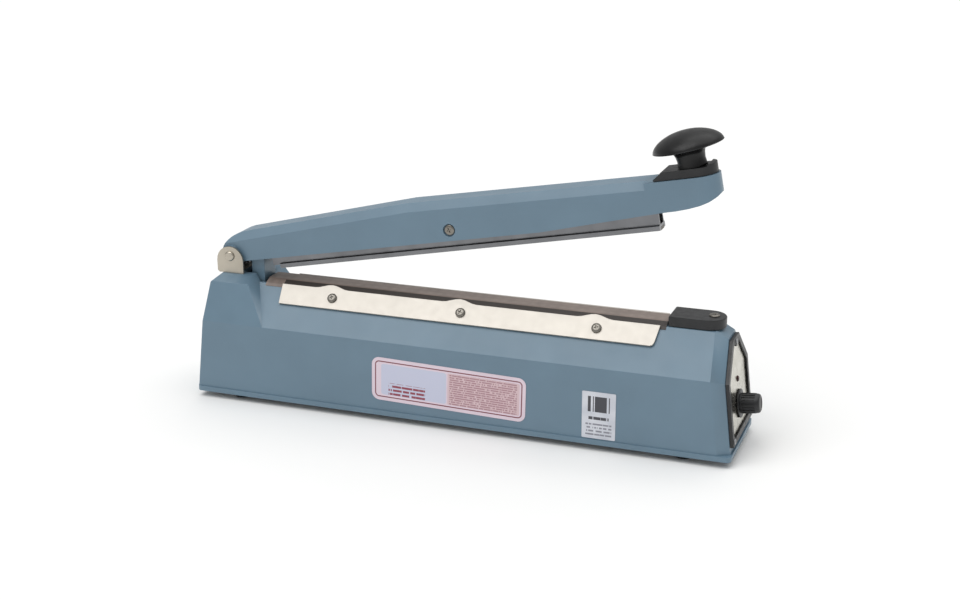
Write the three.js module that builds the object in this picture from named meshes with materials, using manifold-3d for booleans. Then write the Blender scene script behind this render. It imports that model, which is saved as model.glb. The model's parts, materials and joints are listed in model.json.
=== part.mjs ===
// An impulse heat sealer for plastic film: a hollow cast base with a heated rail on its ridge, and a hinged
// press arm that a hand pushes down by a mushroom knob. Sizes are millimetres.
// +X runs from the hinge to the knob, -Y is the front, +Z is up.
// Inside the base group, x = 0 is the middle of the casting, y = 0 its centre plane and z = 0 its lower edge.

import * as THREE from "three";
import { mergeVertices } from "three/addons/utils/BufferGeometryUtils.js";
import Module from "manifold-3d";

const wasm = await Module();
wasm.setup();

// ---- Clearances ----
const LAYER_GAP = 0.05; // between flat pieces that lie on each other
const TURNED_GAP = 0.3; // between pieces that meet in a turned group
const HOLE_CLEARANCE = 0.25; // round a screw's shank, in radius
const RUNNING_CLEARANCE = 0.15; // round a turning pin, in radius

// ---- Base casting ----
const FOOT_HEIGHT = 5;
const BASE_LENGTH = 430; // over the rim
const BASE_WIDTH = 82; // over the rim
const RIM_PROUD = 1;
const RIM_HEIGHT = 4;
const WAIST_HEIGHT = 59; // where the upright walls break inwards
const RIDGE_HEIGHT = 87;
const RIDGE_WIDTH = 26;
const WALL = 3;
const END_DRAFT = 0.12; // how far each end leans in for each millimetre up
const END_BEVEL = 4.5; // how far the right end's bevel comes in
const END_BEVEL_RUN = 9; // and how long it is

const CASTING_LEFT = -BASE_LENGTH / 2 + RIM_PROUD;
const CASTING_RIGHT = BASE_LENGTH / 2 - RIM_PROUD;
const WALL_HALF = BASE_WIDTH / 2 - RIM_PROUD;
const RIDGE_HALF = RIDGE_WIDTH / 2;
const SLOPE_RUN = WALL_HALF - RIDGE_HALF;
const SLOPE_RISE = RIDGE_HEIGHT - WAIST_HEIGHT;
const SLOPE_LENGTH = Math.hypot(SLOPE_RUN, SLOPE_RISE);
const SLOPE_ANGLE = Math.atan2(SLOPE_RISE, SLOPE_RUN);
const END_TILT = Math.atan(END_DRAFT);

// ---- Hinge tower, bracket and pin ----
const TOWER_RISE = 6.5; // above the ridge
const TOWER_TOP = RIDGE_HEIGHT + TOWER_RISE;
const ARM_HALF = 14;
const TOWER_TOP_HALF = ARM_HALF + 6;
const TOWER_SHOULDER_HALF = ARM_HALF + 16;
const TOWER_SHOULDER_DROP = 4;
const TOWER_FOOT_X = CASTING_LEFT + 59.6; // where its sloping right side meets the waist
const TOWER_LEAN = 0.53;
const TOWER_NIB = 4.4; // the chamfer over its left end
const PIN_X = CASTING_LEFT + 22;
const PIN_Z = TOWER_TOP + 13.7;
const PIN_RADIUS = 3;
const PIN_HEAD_RADIUS = PIN_RADIUS + 1;
const PIN_HEAD_HEIGHT = 1.5;
const BRACKET_THICKNESS = 1.8;
const EAR_RADIUS = 11.4;
const EAR_RISE = 21.4; // from the tower's top to the ear's top
const EAR_GAP = 2.2; // from the arm's side to the ear
const BRACKET_SCREW_Y = 8;
const JAW_REACH = CASTING_RIGHT - 56 - PIN_X; // from the pin to the rail's right end

// ---- Press arm ----
const OPEN_ANGLE = THREE.MathUtils.degToRad(10.8); // how far the arm stands open
const ARM_WALL = 2.5;
const ARM_ROOF_HALF = 10; // half the width of the roof's flat
const ARM_LENGTH = JAW_REACH + 43.5; // from the pin to the tip of the nose
const ARM_PEAK_X = JAW_REACH - 194; // the roof is highest here
const ARM_CREASE_PEAK = 18.3; // where the side meets the roof's chamfer, at the peak
const ARM_ROOF_PEAK = 24.7;
const ARM_CREASE_REAR = 10; // over the pin
const ARM_ROOF_REAR = 16.4;
const ARM_CREASE_FRONT = 15.2; // at the nose
const ARM_ROOF_FRONT = 21.4;
const ARM_EDGE_REAR = -6; // the lower edge
const ARM_EDGE_MIDDLE = -7;
const ARM_EDGE_BREAK_X = JAW_REACH - 92; // from here the lower edge rises
const NOSE_X = JAW_REACH - 3;
const NOSE_TOP = 20.3;
const BARREL_RADIUS = 8.5;
const BARREL_END_X = 9; // the casting is solid up to here
const LUG_HALF = 9;
const LUG_LENGTH = 30.7; // below the pin when the arm is open
const LUG_LEFT = 14.5;
const LUG_RIGHT = 25.5;

// ---- Pressure bar ----
const BAR_LEFT = 30; // from the hinge pin, with the arm closed
const BAR_RIGHT = JAW_REACH - 4;
const BAR_PIVOT_X = (BAR_LEFT + BAR_RIGHT) / 2 - 0.2;
const BAR_PIVOT_Z = 1.5;
const BAR_FOOT_INDENT = 7; // the foot starts this much after the web
const BAR_FOOT_HALF = 7.8;
const BAR_FOOT_THICKNESS = 3.9;
const BAR_WEB_HALF = 5.8;
const BAR_WEB_WALL = 1.6;
const BAR_WEB_TOP = 6;
const BAR_HOOK = 1.2;
const STRIP_HALF = 4.5;
const STRIP_DEPTH = 2;
const STRIP_PROUD = 0.4;
const SEAL_GAP = 0.7; // left between the strip and the cover sheet when the arm is down
const BUSH_RADIUS = 4;
const BUSH_BORE = 2.7;
const PIVOT_SCREW_RADIUS = 2.5;
const PIVOT_HEAD_RADIUS = 4.1;
const PIVOT_RECESS_RADIUS = 4.9;
const PIVOT_RECESS_DEPTH = 1.6;
const PIVOT_BOSS_RADIUS = 7.5;
const PIVOT_BOSS_HEIGHT = 2.5;

// ---- Knob ----
const KNOB_X = ARM_LENGTH - 18.5;
const KNOB_LEAN = THREE.MathUtils.degToRad(4.8); // towards the hinge
const KNOB_SINK = 0.9; // into the seat's round recess
const SEAT_HEIGHT = 6;
const SEAT_INSET = 1.5;
const SEAT_SLANT = 6;
const KNOB_RADIUS = 25.8;
const KNOB_STEM_RADIUS = 10.4;
const KNOB_HEIGHT = 26.5;
const KNOB_BOLT_RADIUS = 3;

// ---- Rail, element and cover sheet ----
const RAIL_LEFT = PIN_X + 28.8;
const RAIL_RIGHT = PIN_X + JAW_REACH;
const RAIL_HEIGHT = 2.15;
const RAIL_FOOT_HALF = 8.5;
const RAIL_TOP_HALF = 7;
const TAPE_THICKNESS = 0.25;
const TAPE_HALF = 6;
const ELEMENT_THICKNESS = 0.25;
const ELEMENT_HALF = 2.5;
const SHEET_THICKNESS = 0.25;
const SHEET_HALF = 7.2;
const SHEET_DROP = 15; // how far it runs down the slope, under the clamp plates
const SHEET_END_DROP = 2.6; // and how far beyond their ends

const RAIL_TOP = RIDGE_HEIGHT + LAYER_GAP + RAIL_HEIGHT;
const TAPE_TOP = RAIL_TOP + LAYER_GAP + TAPE_THICKNESS;
const ELEMENT_TOP = TAPE_TOP + LAYER_GAP + ELEMENT_THICKNESS;
const SHEET_TOP = ELEMENT_TOP + LAYER_GAP + SHEET_THICKNESS;
const STRIP_BOTTOM = SHEET_TOP + SEAL_GAP - PIN_Z; // from the pin, with the arm closed
const BAR_BOTTOM = STRIP_BOTTOM + STRIP_PROUD;

// ---- Clamp plates ----
const PLATE_LEFT = CASTING_LEFT + 66;
const PLATE_RIGHT = CASTING_RIGHT - 59;
const PLATE_THICKNESS = 1.5;
const PLATE_BOTTOM = SLOPE_LENGTH - 17.3; // up the slope from the waist
const PLATE_TOP = SLOPE_LENGTH - 0.2;
const PLATE_HUMP = 3.3;
const PLATE_HUMP_HALF = 14;
const PLATE_END_SLANT = 1.8;
const PLATE_CORNER = 3;
const PLATE_SCREW_SPACING = 105.9;
const PLATE_SCREW_SHIFT = -0.3;
const PLATE_SCREW_HEIGHT = 9; // above the plate's lower edge
const CLAMP_SCREW = { head: 3.8, headHeight: 2, shank: 1.75, length: 8 };

// ---- Terminal cover on the ridge ----
const COVER_LEFT = RAIL_RIGHT + 2;
const COVER_LENGTH = 40;
const COVER_HALF = 12.4;
const COVER_HEIGHT = 8;
const COVER_WALL = 2;
const COVER_SCREW_SETBACK = 9;
const COVER_SCREW = { head: 3.9, headHeight: 1.2, shank: 1.6, length: 11 };

// ---- Timer end ----
const BEZEL_INSET = END_BEVEL + 1.2;
const BEZEL_FOOT = 9;
const BEZEL_BAND = 4.4;
const BEZEL_THICKNESS = 2.6;
const PANEL_THICKNESS = 1.2;
const WINDOW_INSET = 12.5;
const TIMER_Z = 30.5;
const LAMP_Z = 49.4;
const LAMP_RADIUS = 2.2;
const TIMER_FLANGE_RADIUS = 10.7;
const TIMER_KNOB_RADIUS = 7.7;
const TIMER_KNOB_LENGTH = 15.4;
const TIMER_SHAFT_RADIUS = 3;
const BEZEL_SCREW = { head: 2.2, headHeight: 1, shank: 1.3, length: 8 };
const BEZEL_SCREW_INSET = 3.6;

// ---- Feet and bottom plate ----
const FOOT_LEFT_X = CASTING_LEFT + 33.3;
const FOOT_RIGHT_X = CASTING_RIGHT - 35.8;
const FOOT_Y = WALL_HALF - 13;
const FOOT_RADIUS = 7;
const BOSS_RADIUS = 5;
const BOSS_HEIGHT = 28;
const BOTTOM_PLATE_THICKNESS = 1.5;
const BOTTOM_PLATE_LIFT = 0.4;
const BOTTOM_PLATE_TOP = BOTTOM_PLATE_LIFT + BOTTOM_PLATE_THICKNESS;
const BASE_SCREW = { head: 3.6, headHeight: 1.8, shank: 1.6, length: 16 };

// ---- Return spring, push cup and switch ----
const SPRING_X = PIN_X + 17;
const SPRING_RADIUS = 7.6;
const SPRING_WIRE = 0.9;
const SPRING_TURNS = 9;
const POST_RADIUS = 4;
const CUP_RADIUS = 11;
const CUP_THICKNESS = 3;
const CUP_SLEEVE_RADIUS = 5.8;
const CUP_SLEEVE_LENGTH = 25;
const CUP_TOP = PIN_Z - LUG_LENGTH - TURNED_GAP;
const CUP_BOTTOM = CUP_TOP - CUP_THICKNESS;
const BUTTON_TOP = CUP_BOTTOM - 3.7;
const SWITCH_TOP = BUTTON_TOP - 3.5;
const SWITCH_SIZE = { length: 20, width: 6, height: 10 };
const SWITCH_Y = 16;

// ---- Transformer, board and terminals ----
const CORE = { x: -40, length: 66, depth: 30, height: 55, limb: 11 };
const COIL_DEPTH = 50;
const BOARD = {
  left: CASTING_RIGHT - 106,
  right: CASTING_RIGHT - 46,
  half: 26,
  z: 12,
  thickness: 1.6,
};
const TERMINAL_HALF = 5;
const TERMINAL_LENGTH = 8;

// ---- Labels ----
const LABEL = {
  x: 0,
  z: 28.4,
  length: 123.5,
  height: 34.4,
  corner: 6,
  skew: THREE.MathUtils.degToRad(1.4),
};
const STICKER = {
  x: CASTING_RIGHT - 96.4,
  z: 22.9,
  length: 25.3,
  height: 36.2,
  corner: 0.8,
  skew: 0,
};
const LABEL_THICKNESS = 0.3;

// The pocket in the ridge that the arm's lug and the element's left end go down through.
const POCKET_LEFT = PIN_X + 7;
const POCKET_RIGHT = RAIL_LEFT + 1;
const POCKET_HALF = LUG_HALF + 2.2;

const FINISHES = {
  enamel: { color: 0x71869a, roughness: 0.42, metalness: 0.1 },
  nickel: { color: 0xc9c4b6, roughness: 0.3, metalness: 0.9 },
  cream_nickel: { color: 0xe2ddcf, roughness: 0.35, metalness: 0.6 },
  steel: { color: 0x9a9a98, roughness: 0.4, metalness: 0.9 },
  aluminium: { color: 0xb4b8bd, roughness: 0.35, metalness: 0.9 },
  brass: { color: 0xb08d4f, roughness: 0.35, metalness: 0.9 },
  black_plastic: { color: 0x26262a, roughness: 0.4, metalness: 0 },
  rubber: { color: 0x1c1c1e, roughness: 0.9, metalness: 0 },
  silicone: { color: 0xa9a39b, roughness: 0.7, metalness: 0 },
  ptfe: { color: 0x8a7a6c, roughness: 0.55, metalness: 0 },
  tape: { color: 0xb89a6a, roughness: 0.6, metalness: 0 },
  panel: { color: 0xb9b7b2, roughness: 0.25, metalness: 0.8 },
  lamp: { color: 0x5a1410, roughness: 0.2, metalness: 0 },
  board: { color: 0x2f6b45, roughness: 0.5, metalness: 0 },
  iron: { color: 0x4c4a48, roughness: 0.6, metalness: 0.7 },
  copper: { color: 0xa5602f, roughness: 0.4, metalness: 0.8 },
  label: { color: 0xe7dbe2, roughness: 0.4, metalness: 0 },
  sticker: { color: 0xcfd3d8, roughness: 0.3, metalness: 0.3 },
  wire: { color: 0x8e2f28, roughness: 0.6, metalness: 0 },
};

// ---- Shape helpers ----

// A closed geometry as a solid whose faces point out.
function solid(geometry) {
  const bare = geometry.index ? geometry.toNonIndexed() : geometry.clone();
  for (const name of Object.keys(bare.attributes)) {
    if (name !== "position") bare.deleteAttribute(name);
  }
  const merged = mergeVertices(bare, 1e-4);
  const vertProperties = merged.attributes.position.array;
  const triVerts = new Uint32Array(merged.index.array);
  const made = new wasm.Manifold(new wasm.Mesh({ numProp: 3, vertProperties, triVerts }));
  if (made.volume() > 0) return made;
  triVerts.reverse();
  return new wasm.Manifold(new wasm.Mesh({ numProp: 3, vertProperties, triVerts }));
}

function geometryOf(shape) {
  const mesh = shape.getMesh();
  const geometry = new THREE.BufferGeometry();
  geometry.setAttribute("position", new THREE.BufferAttribute(new Float32Array(mesh.vertProperties), 3));
  geometry.setIndex(new THREE.BufferAttribute(new Uint32Array(mesh.triVerts), 1));
  const faceted = geometry.toNonIndexed();
  faceted.computeVertexNormals();
  return faceted;
}

function join(first, ...others) {
  return others.reduce((sum, other) => sum.add(other), first);
}

function cut(first, ...others) {
  return others.reduce((rest, other) => rest.subtract(other), first);
}

const ALONG = {
  x: new THREE.Matrix4().makeBasis(
    new THREE.Vector3(0, 1, 0),
    new THREE.Vector3(0, 0, 1),
    new THREE.Vector3(1, 0, 0),
  ),
  y: new THREE.Matrix4().makeBasis(
    new THREE.Vector3(1, 0, 0),
    new THREE.Vector3(0, 0, 1),
    new THREE.Vector3(0, 1, 0),
  ),
  z: new THREE.Matrix4(),
};

// A prism along an axis. The outline's two numbers are the other two axes, in x, y, z order.
function prism(axis, outline, from, to) {
  const shape = outline instanceof THREE.Shape ? outline : shapeOf(outline);
  const geometry = new THREE.ExtrudeGeometry(shape, {
    depth: to - from,
    bevelEnabled: false,
    curveSegments: 6,
  });
  geometry.translate(0, 0, from);
  return solid(geometry.applyMatrix4(ALONG[axis]));
}

function shapeOf(outline) {
  return new THREE.Shape(outline.map(([u, v]) => new THREE.Vector2(u, v)));
}

function box(x0, x1, y0, y1, z0, z1) {
  const geometry = new THREE.BoxGeometry(x1 - x0, y1 - y0, z1 - z0);
  return solid(geometry.translate((x0 + x1) / 2, (y0 + y1) / 2, (z0 + z1) / 2));
}

// A round bar along an axis, centred at the other two coordinates.
function rod(axis, u, v, radius, from, to, sides = 20) {
  const ring = Array.from({ length: sides }, (_, i) => {
    const turn = ((i + 0.5) / sides) * 2 * Math.PI;
    return [u + radius * Math.cos(turn), v + radius * Math.sin(turn)];
  });
  return prism(axis, ring, from, to);
}

// A turned shape about Z. Its profile is [radius, height] pairs.
function turned(profile, sides = 20) {
  const points = profile.map(([r, z]) => new THREE.Vector2(r, z));
  return solid(new THREE.LatheGeometry(points, sides).rotateX(Math.PI / 2));
}

// A closed body through rings of points that have the same count, with convex ends.
function loft(rings) {
  const count = rings[0].length;
  const index = [];
  for (let ring = 0; ring + 1 < rings.length; ring++) {
    for (let i = 0; i < count; i++) {
      const a = ring * count + i;
      const b = ring * count + ((i + 1) % count);
      index.push(a, b, b + count, a, b + count, a + count);
    }
  }
  const last = (rings.length - 1) * count;
  for (let i = 1; i + 1 < count; i++) {
    index.push(0, i + 1, i);
    index.push(last, last + i, last + i + 1);
  }
  const geometry = new THREE.BufferGeometry();
  geometry.setAttribute("position", new THREE.Float32BufferAttribute(rings.flat(2), 3));
  geometry.setIndex(index);
  return solid(geometry);
}

// A convex outline moved inwards. It runs counter-clockwise.
function inset(outline, distance) {
  return outline.map(([u, v], i) => {
    const [u0, v0] = outline[(i + outline.length - 1) % outline.length];
    const [u1, v1] = outline[(i + 1) % outline.length];
    const before = Math.hypot(u - u0, v - v0);
    const after = Math.hypot(u1 - u, v1 - v);
    const [nu0, nv0] = [(v0 - v) / before, (u - u0) / before];
    const [nu1, nv1] = [(v - v1) / after, (u1 - u) / after];
    const mitre = distance / (1 + nu0 * nu1 + nv0 * nv1);
    return [u + mitre * (nu0 + nu1), v + mitre * (nv0 + nv1)];
  });
}

// A half outline on the +u side and its mirror image.
function mirrored(half) {
  return [...half, ...half.map(([u, v]) => [-u, v]).reverse()];
}

function roundedBar(length, height, corner) {
  const [a, b] = [length / 2, height / 2];
  const shape = new THREE.Shape();
  shape.absarc(a - corner, b - corner, corner, 0, Math.PI / 2);
  shape.absarc(corner - a, b - corner, corner, Math.PI / 2, Math.PI);
  shape.absarc(corner - a, corner - b, corner, Math.PI, 1.5 * Math.PI);
  shape.absarc(a - corner, corner - b, corner, 1.5 * Math.PI, 2 * Math.PI);
  return shape;
}

// A plan that is square at the left and half round at the right.
function dPlan(left, right, half) {
  const shape = new THREE.Shape();
  shape.moveTo(left, -half);
  shape.lineTo(right - half, -half);
  shape.absarc(right - half, 0, half, -Math.PI / 2, Math.PI / 2);
  shape.lineTo(left, half);
  return shape;
}

// A pan head screw with its head up. z = 0 is under the head.
function screw({ head, headHeight, shank, length }) {
  const body = turned(
    [
      [0, -length],
      [shank, -length],
      [shank, 0],
      [head, 0],
      [head, headHeight * 0.45],
      [head * 0.72, headHeight],
      [0, headHeight],
    ],
    12,
  );
  const reach = head * 0.55;
  const half = head * 0.13;
  const depth = headHeight * 0.5;
  const slot = box(-reach, reach, -half, half, headHeight - depth, headHeight + 1);
  const cross = box(-half, half, -reach, reach, headHeight - depth, headHeight + 1);
  return cut(body, slot, cross);
}

function moved(shape, matrix) {
  return solid(geometryOf(shape).applyMatrix4(matrix));
}

function node(parent, name, shape, finish) {
  const mesh = new THREE.Mesh(geometryOf(shape), new THREE.MeshStandardMaterial(FINISHES[finish]));
  mesh.name = name;
  parent.add(mesh);
  return mesh;
}

// A group whose place is a matrix.
function frame(parent, matrix) {
  const group = new THREE.Group();
  group.applyMatrix4(matrix);
  parent.add(group);
  return group;
}

// ---- Frames ----

// On a slope, x runs along the waist, y up the slope and z out of it. The rear one is turned half round.
function slopeMatrix(turnedRound) {
  const matrix = new THREE.Matrix4().makeRotationX(SLOPE_ANGLE);
  matrix.setPosition(0, -WALL_HALF, WAIST_HEIGHT);
  return turnedRound ? new THREE.Matrix4().makeRotationZ(Math.PI).multiply(matrix) : matrix;
}

const frontSlope = slopeMatrix(false);
const rearSlope = slopeMatrix(true);

// On an end wall, x runs out of the wall and z up it.
const rightEnd = new THREE.Matrix4().makeRotationY(-END_TILT).setPosition(CASTING_RIGHT, 0, 0);
const leftEnd = new THREE.Matrix4()
  .makeRotationY(END_TILT)
  .multiply(new THREE.Matrix4().makeRotationZ(Math.PI))
  .setPosition(CASTING_LEFT, 0, 0);

// ---- Base ----

// The casting's outline across the ridge, at a depth under its skin, from a given height up.
function house(depth, foot) {
  const half = [
    [WALL_HALF, foot - depth],
    [WALL_HALF, WAIST_HEIGHT],
    [RIDGE_HALF, RIDGE_HEIGHT],
  ];
  return inset(mirrored(half), depth);
}

// An outline across the ridge, set at x on a plane that leans along x.
function leaning(outline, x, lean) {
  return outline.map(([y, z]) => [x + lean * z, y, z]);
}

function houseBody(depth, foot) {
  return loft([
    leaning(house(depth, foot), CASTING_LEFT + depth, END_DRAFT),
    leaning(house(depth, foot), CASTING_RIGHT - END_BEVEL_RUN - depth, -END_DRAFT),
    leaning(house(depth + END_BEVEL, foot), CASTING_RIGHT - depth, -END_DRAFT),
  ]);
}

function towerBody(depth, foot) {
  const half = [
    [WALL_HALF, foot - depth],
    [WALL_HALF, WAIST_HEIGHT],
    [TOWER_SHOULDER_HALF, TOWER_TOP - TOWER_SHOULDER_DROP],
    [TOWER_TOP_HALF, TOWER_TOP],
  ];
  const outline = inset(mirrored(half), depth);
  const rightFoot = TOWER_FOOT_X + TOWER_LEAN * WAIST_HEIGHT - depth;
  const body = loft([
    leaning(outline, CASTING_LEFT + depth, END_DRAFT),
    leaning(outline, rightFoot, -TOWER_LEAN),
  ]);
  const corner = CASTING_LEFT + END_DRAFT * TOWER_TOP + depth;
  const top = TOWER_TOP - depth;
  const nib = prism(
    "y",
    [
      [corner - 8, top - TOWER_NIB - 8],
      [corner + TOWER_NIB + 4, top + 4],
      [corner - 8, top + 4],
    ],
    -WALL_HALF - 1,
    WALL_HALF + 1,
  );
  return cut(body, nib);
}

function footPlaces() {
  return [
    ["front_left", FOOT_LEFT_X, -FOOT_Y],
    ["front_right", FOOT_RIGHT_X, -FOOT_Y],
    ["rear_left", FOOT_LEFT_X, FOOT_Y],
    ["rear_right", FOOT_RIGHT_X, FOOT_Y],
  ];
}

function plateScrewXs() {
  const middle = (PLATE_LEFT + PLATE_RIGHT) / 2 + PLATE_SCREW_SHIFT;
  return [-1, 0, 1].map((step) => middle + step * PLATE_SCREW_SPACING);
}

const PLATE_SCREW_S = PLATE_BOTTOM + PLATE_SCREW_HEIGHT;

// Round cutters down through each slope at the clamp screws, at any radius.
function clampScrewHoles(radius) {
  const holes = [];
  for (const [matrix, side] of [
    [frontSlope, 1],
    [rearSlope, -1],
  ]) {
    for (const x of plateScrewXs()) {
      holes.push(moved(rod("z", side * x, PLATE_SCREW_S, radius, -12, 6, 16), matrix));
    }
  }
  return holes;
}

function bezelScrewPlaces() {
  const outline = house(BEZEL_INSET + BEZEL_SCREW_INSET, BEZEL_FOOT + BEZEL_SCREW_INSET);
  const [corner, , ridge] = outline;
  return [
    ["top", 0, ridge[1]],
    ["front", -corner[0], corner[1]],
    ["rear", corner[0], corner[1]],
  ];
}

const COVER_RIGHT = COVER_LEFT + COVER_LENGTH;
const COVER_SCREW_X = COVER_RIGHT - COVER_SCREW_SETBACK;
const CORD_HOLE_Z = 22;
const CORD_HOLE_RADIUS = 6;
const LEAD_RADIUS = 1.1;
const LEAD_HOLE_RADIUS = 3;
const RIGHT_TERMINAL_X = COVER_LEFT + COVER_WALL + 1;

function baseCasting() {
  const rim = prism("z", roundedBar(BASE_LENGTH, BASE_WIDTH, 4), 0, RIM_HEIGHT);
  const rimInside = box(
    CASTING_LEFT + WALL,
    CASTING_RIGHT - WALL - 1,
    WALL - WALL_HALF,
    WALL_HALF - WALL,
    -1,
    RIM_HEIGHT + 1,
  );
  const skin = join(houseBody(0, 0), towerBody(0, WAIST_HEIGHT - 10), rim);
  const hollow = join(houseBody(WALL, -1), towerBody(WALL, WAIST_HEIGHT - 20), rimInside);
  let casting = cut(skin, hollow);
  for (const [, x, y] of footPlaces()) {
    const boss = rod("z", x, y, BOSS_RADIUS, BOTTOM_PLATE_TOP + LAYER_GAP, BOSS_HEIGHT, 16);
    const wallSide = Math.sign(y) * (WALL_HALF - WALL / 2);
    const rib = box(
      x - WALL / 2,
      x + WALL / 2,
      Math.min(y, wallSide),
      Math.max(y, wallSide),
      BOTTOM_PLATE_TOP + LAYER_GAP,
      BOSS_HEIGHT,
    );
    const pilot = rod("z", x, y, BASE_SCREW.shank + HOLE_CLEARANCE, 0, BOSS_HEIGHT - 4, 16);
    casting = cut(join(casting, boss, rib), pilot);
  }
  const pocket = box(
    POCKET_LEFT,
    POCKET_RIGHT,
    -POCKET_HALF,
    POCKET_HALF,
    RIDGE_HEIGHT - WALL - 6,
    TOWER_TOP + 1,
  );
  const window = moved(
    prism("x", house(WINDOW_INSET, WINDOW_INSET + 1), -WALL - 1.5, 1),
    rightEnd,
  );
  const bezelHoles = bezelScrewPlaces().map(([, y, z]) =>
    moved(rod("x", y, z, BEZEL_SCREW.shank + HOLE_CLEARANCE, -WALL - 1.5, 1, 12), rightEnd),
  );
  const cordHole = moved(rod("x", 0, CORD_HOLE_Z, CORD_HOLE_RADIUS + TURNED_GAP, -WALL - 1, 1, 20), leftEnd);
  const leadHole = rod(
    "z",
    RIGHT_TERMINAL_X + TERMINAL_LENGTH + 4,
    0,
    LEAD_HOLE_RADIUS,
    RIDGE_HEIGHT - WALL - 1,
    RIDGE_HEIGHT + 1,
    12,
  );
  const coverHole = rod(
    "z",
    COVER_SCREW_X,
    0,
    COVER_SCREW.shank + HOLE_CLEARANCE,
    RIDGE_HEIGHT - WALL - 1,
    RIDGE_HEIGHT + 1,
    12,
  );
  const bracketHoles = [-BRACKET_SCREW_Y, BRACKET_SCREW_Y].map((y) =>
    rod("z", PIN_X, y, CLAMP_SCREW.shank + HOLE_CLEARANCE, TOWER_TOP - WALL - 1, TOWER_TOP + 1, 12),
  );
  return cut(
    casting,
    pocket,
    window,
    ...bezelHoles,
    cordHole,
    leadHole,
    coverHole,
    ...bracketHoles,
    ...clampScrewHoles(CLAMP_SCREW.shank + HOLE_CLEARANCE),
  );
}

function addFeet(base) {
  const inner = WALL + 0.5;
  let plate = box(
    CASTING_LEFT + inner,
    CASTING_RIGHT - inner - 1,
    inner - WALL_HALF,
    WALL_HALF - inner,
    BOTTOM_PLATE_LIFT,
    BOTTOM_PLATE_TOP,
  );
  for (const [place, x, y] of footPlaces()) {
    plate = cut(plate, rod("z", x, y, BASE_SCREW.shank + HOLE_CLEARANCE, -1, BOTTOM_PLATE_TOP + 1, 16));
    const top = FOOT_HEIGHT + BOTTOM_PLATE_LIFT - LAYER_GAP;
    const recess = BASE_SCREW.headHeight + 0.6;
    const bore = BASE_SCREW.shank + HOLE_CLEARANCE;
    const wide = BASE_SCREW.head + 0.6;
    const footProfile = [
      [bore, recess],
      [wide, recess],
      [wide, 0],
      [FOOT_RADIUS - 0.8, 0],
      [FOOT_RADIUS, 1.2],
      [FOOT_RADIUS, top],
      [bore, top],
      [bore, recess],
    ];
    const foot = turned(footProfile, 16);
    const rubber = node(base, `foot_${place}`, foot, "rubber");
    rubber.position.set(x, y, -FOOT_HEIGHT);
    const fixing = node(base, `base_screw_${place}`, screw(BASE_SCREW), "steel");
    fixing.rotation.x = Math.PI;
    fixing.position.set(x, y, recess - FOOT_HEIGHT - LAYER_GAP);
  }
  node(base, "bottom_plate", plate, "steel");
}

// The sheet's inner line from one slope over the rail to the other, as [y, z].
function sheetLine(lift, drop) {
  const slope = (s) => [
    WALL_HALF - s * Math.cos(SLOPE_ANGLE) + lift * Math.sin(SLOPE_ANGLE),
    WAIST_HEIGHT + s * Math.sin(SLOPE_ANGLE) + lift * Math.cos(SLOPE_ANGLE),
  ];
  const top = [SHEET_HALF + lift / 2, ELEMENT_TOP + lift];
  return [slope(SLOPE_LENGTH - drop), slope(SLOPE_LENGTH), top];
}

function sheetSection(drop, from, to) {
  const inner = mirrored(sheetLine(LAYER_GAP, drop));
  const outer = mirrored(sheetLine(LAYER_GAP + SHEET_THICKNESS, drop));
  return prism("x", [...outer, ...inner.reverse()], from, to);
}

// The sheet is clamped between the plates' ends, and has its corners cut back beyond them.
function coverSheet() {
  const whole = sheetSection(SHEET_END_DROP, RAIL_LEFT, RAIL_RIGHT + 1);
  const clamped = sheetSection(SHEET_DROP, PLATE_LEFT + 2.5, PLATE_RIGHT - 2.5);
  return cut(join(whole, clamped), ...clampScrewHoles(CLAMP_SCREW.shank + 1));
}

// The rear plate's upper edge is straight; the front one rises in a wave over each screw.
function clampPlate(side) {
  const rise = (x) => {
    const nearest = Math.min(...plateScrewXs().map((screwX) => Math.abs(x - screwX + 3)));
    const part = Math.min(nearest / PLATE_HUMP_HALF, 1);
    return (PLATE_HUMP * (1 + Math.cos(Math.PI * part))) / 2;
  };
  const top = [];
  for (const screwX of side > 0 ? plateScrewXs() : []) {
    for (let step = -4; step <= 4; step++) {
      const x = screwX - 3 + (step * PLATE_HUMP_HALF) / 4;
      top.push([x, PLATE_TOP + rise(x)]);
    }
  }
  const outline = [
    [PLATE_LEFT, PLATE_TOP],
    ...top,
    [PLATE_RIGHT, PLATE_TOP],
    [PLATE_RIGHT - PLATE_END_SLANT, PLATE_BOTTOM + PLATE_CORNER],
    [PLATE_RIGHT - PLATE_END_SLANT - PLATE_CORNER * 0.3, PLATE_BOTTOM + PLATE_CORNER * 0.3],
    [PLATE_RIGHT - PLATE_END_SLANT - PLATE_CORNER, PLATE_BOTTOM],
    [PLATE_LEFT + PLATE_END_SLANT, PLATE_BOTTOM],
  ].map(([x, s]) => [side * x, s]);
  const holes = plateScrewXs().map((x) =>
    rod("z", side * x, PLATE_SCREW_S, CLAMP_SCREW.shank + HOLE_CLEARANCE, -1, PLATE_THICKNESS + 1, 12),
  );
  return cut(prism("z", outline, 0, PLATE_THICKNESS), ...holes);
}

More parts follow.
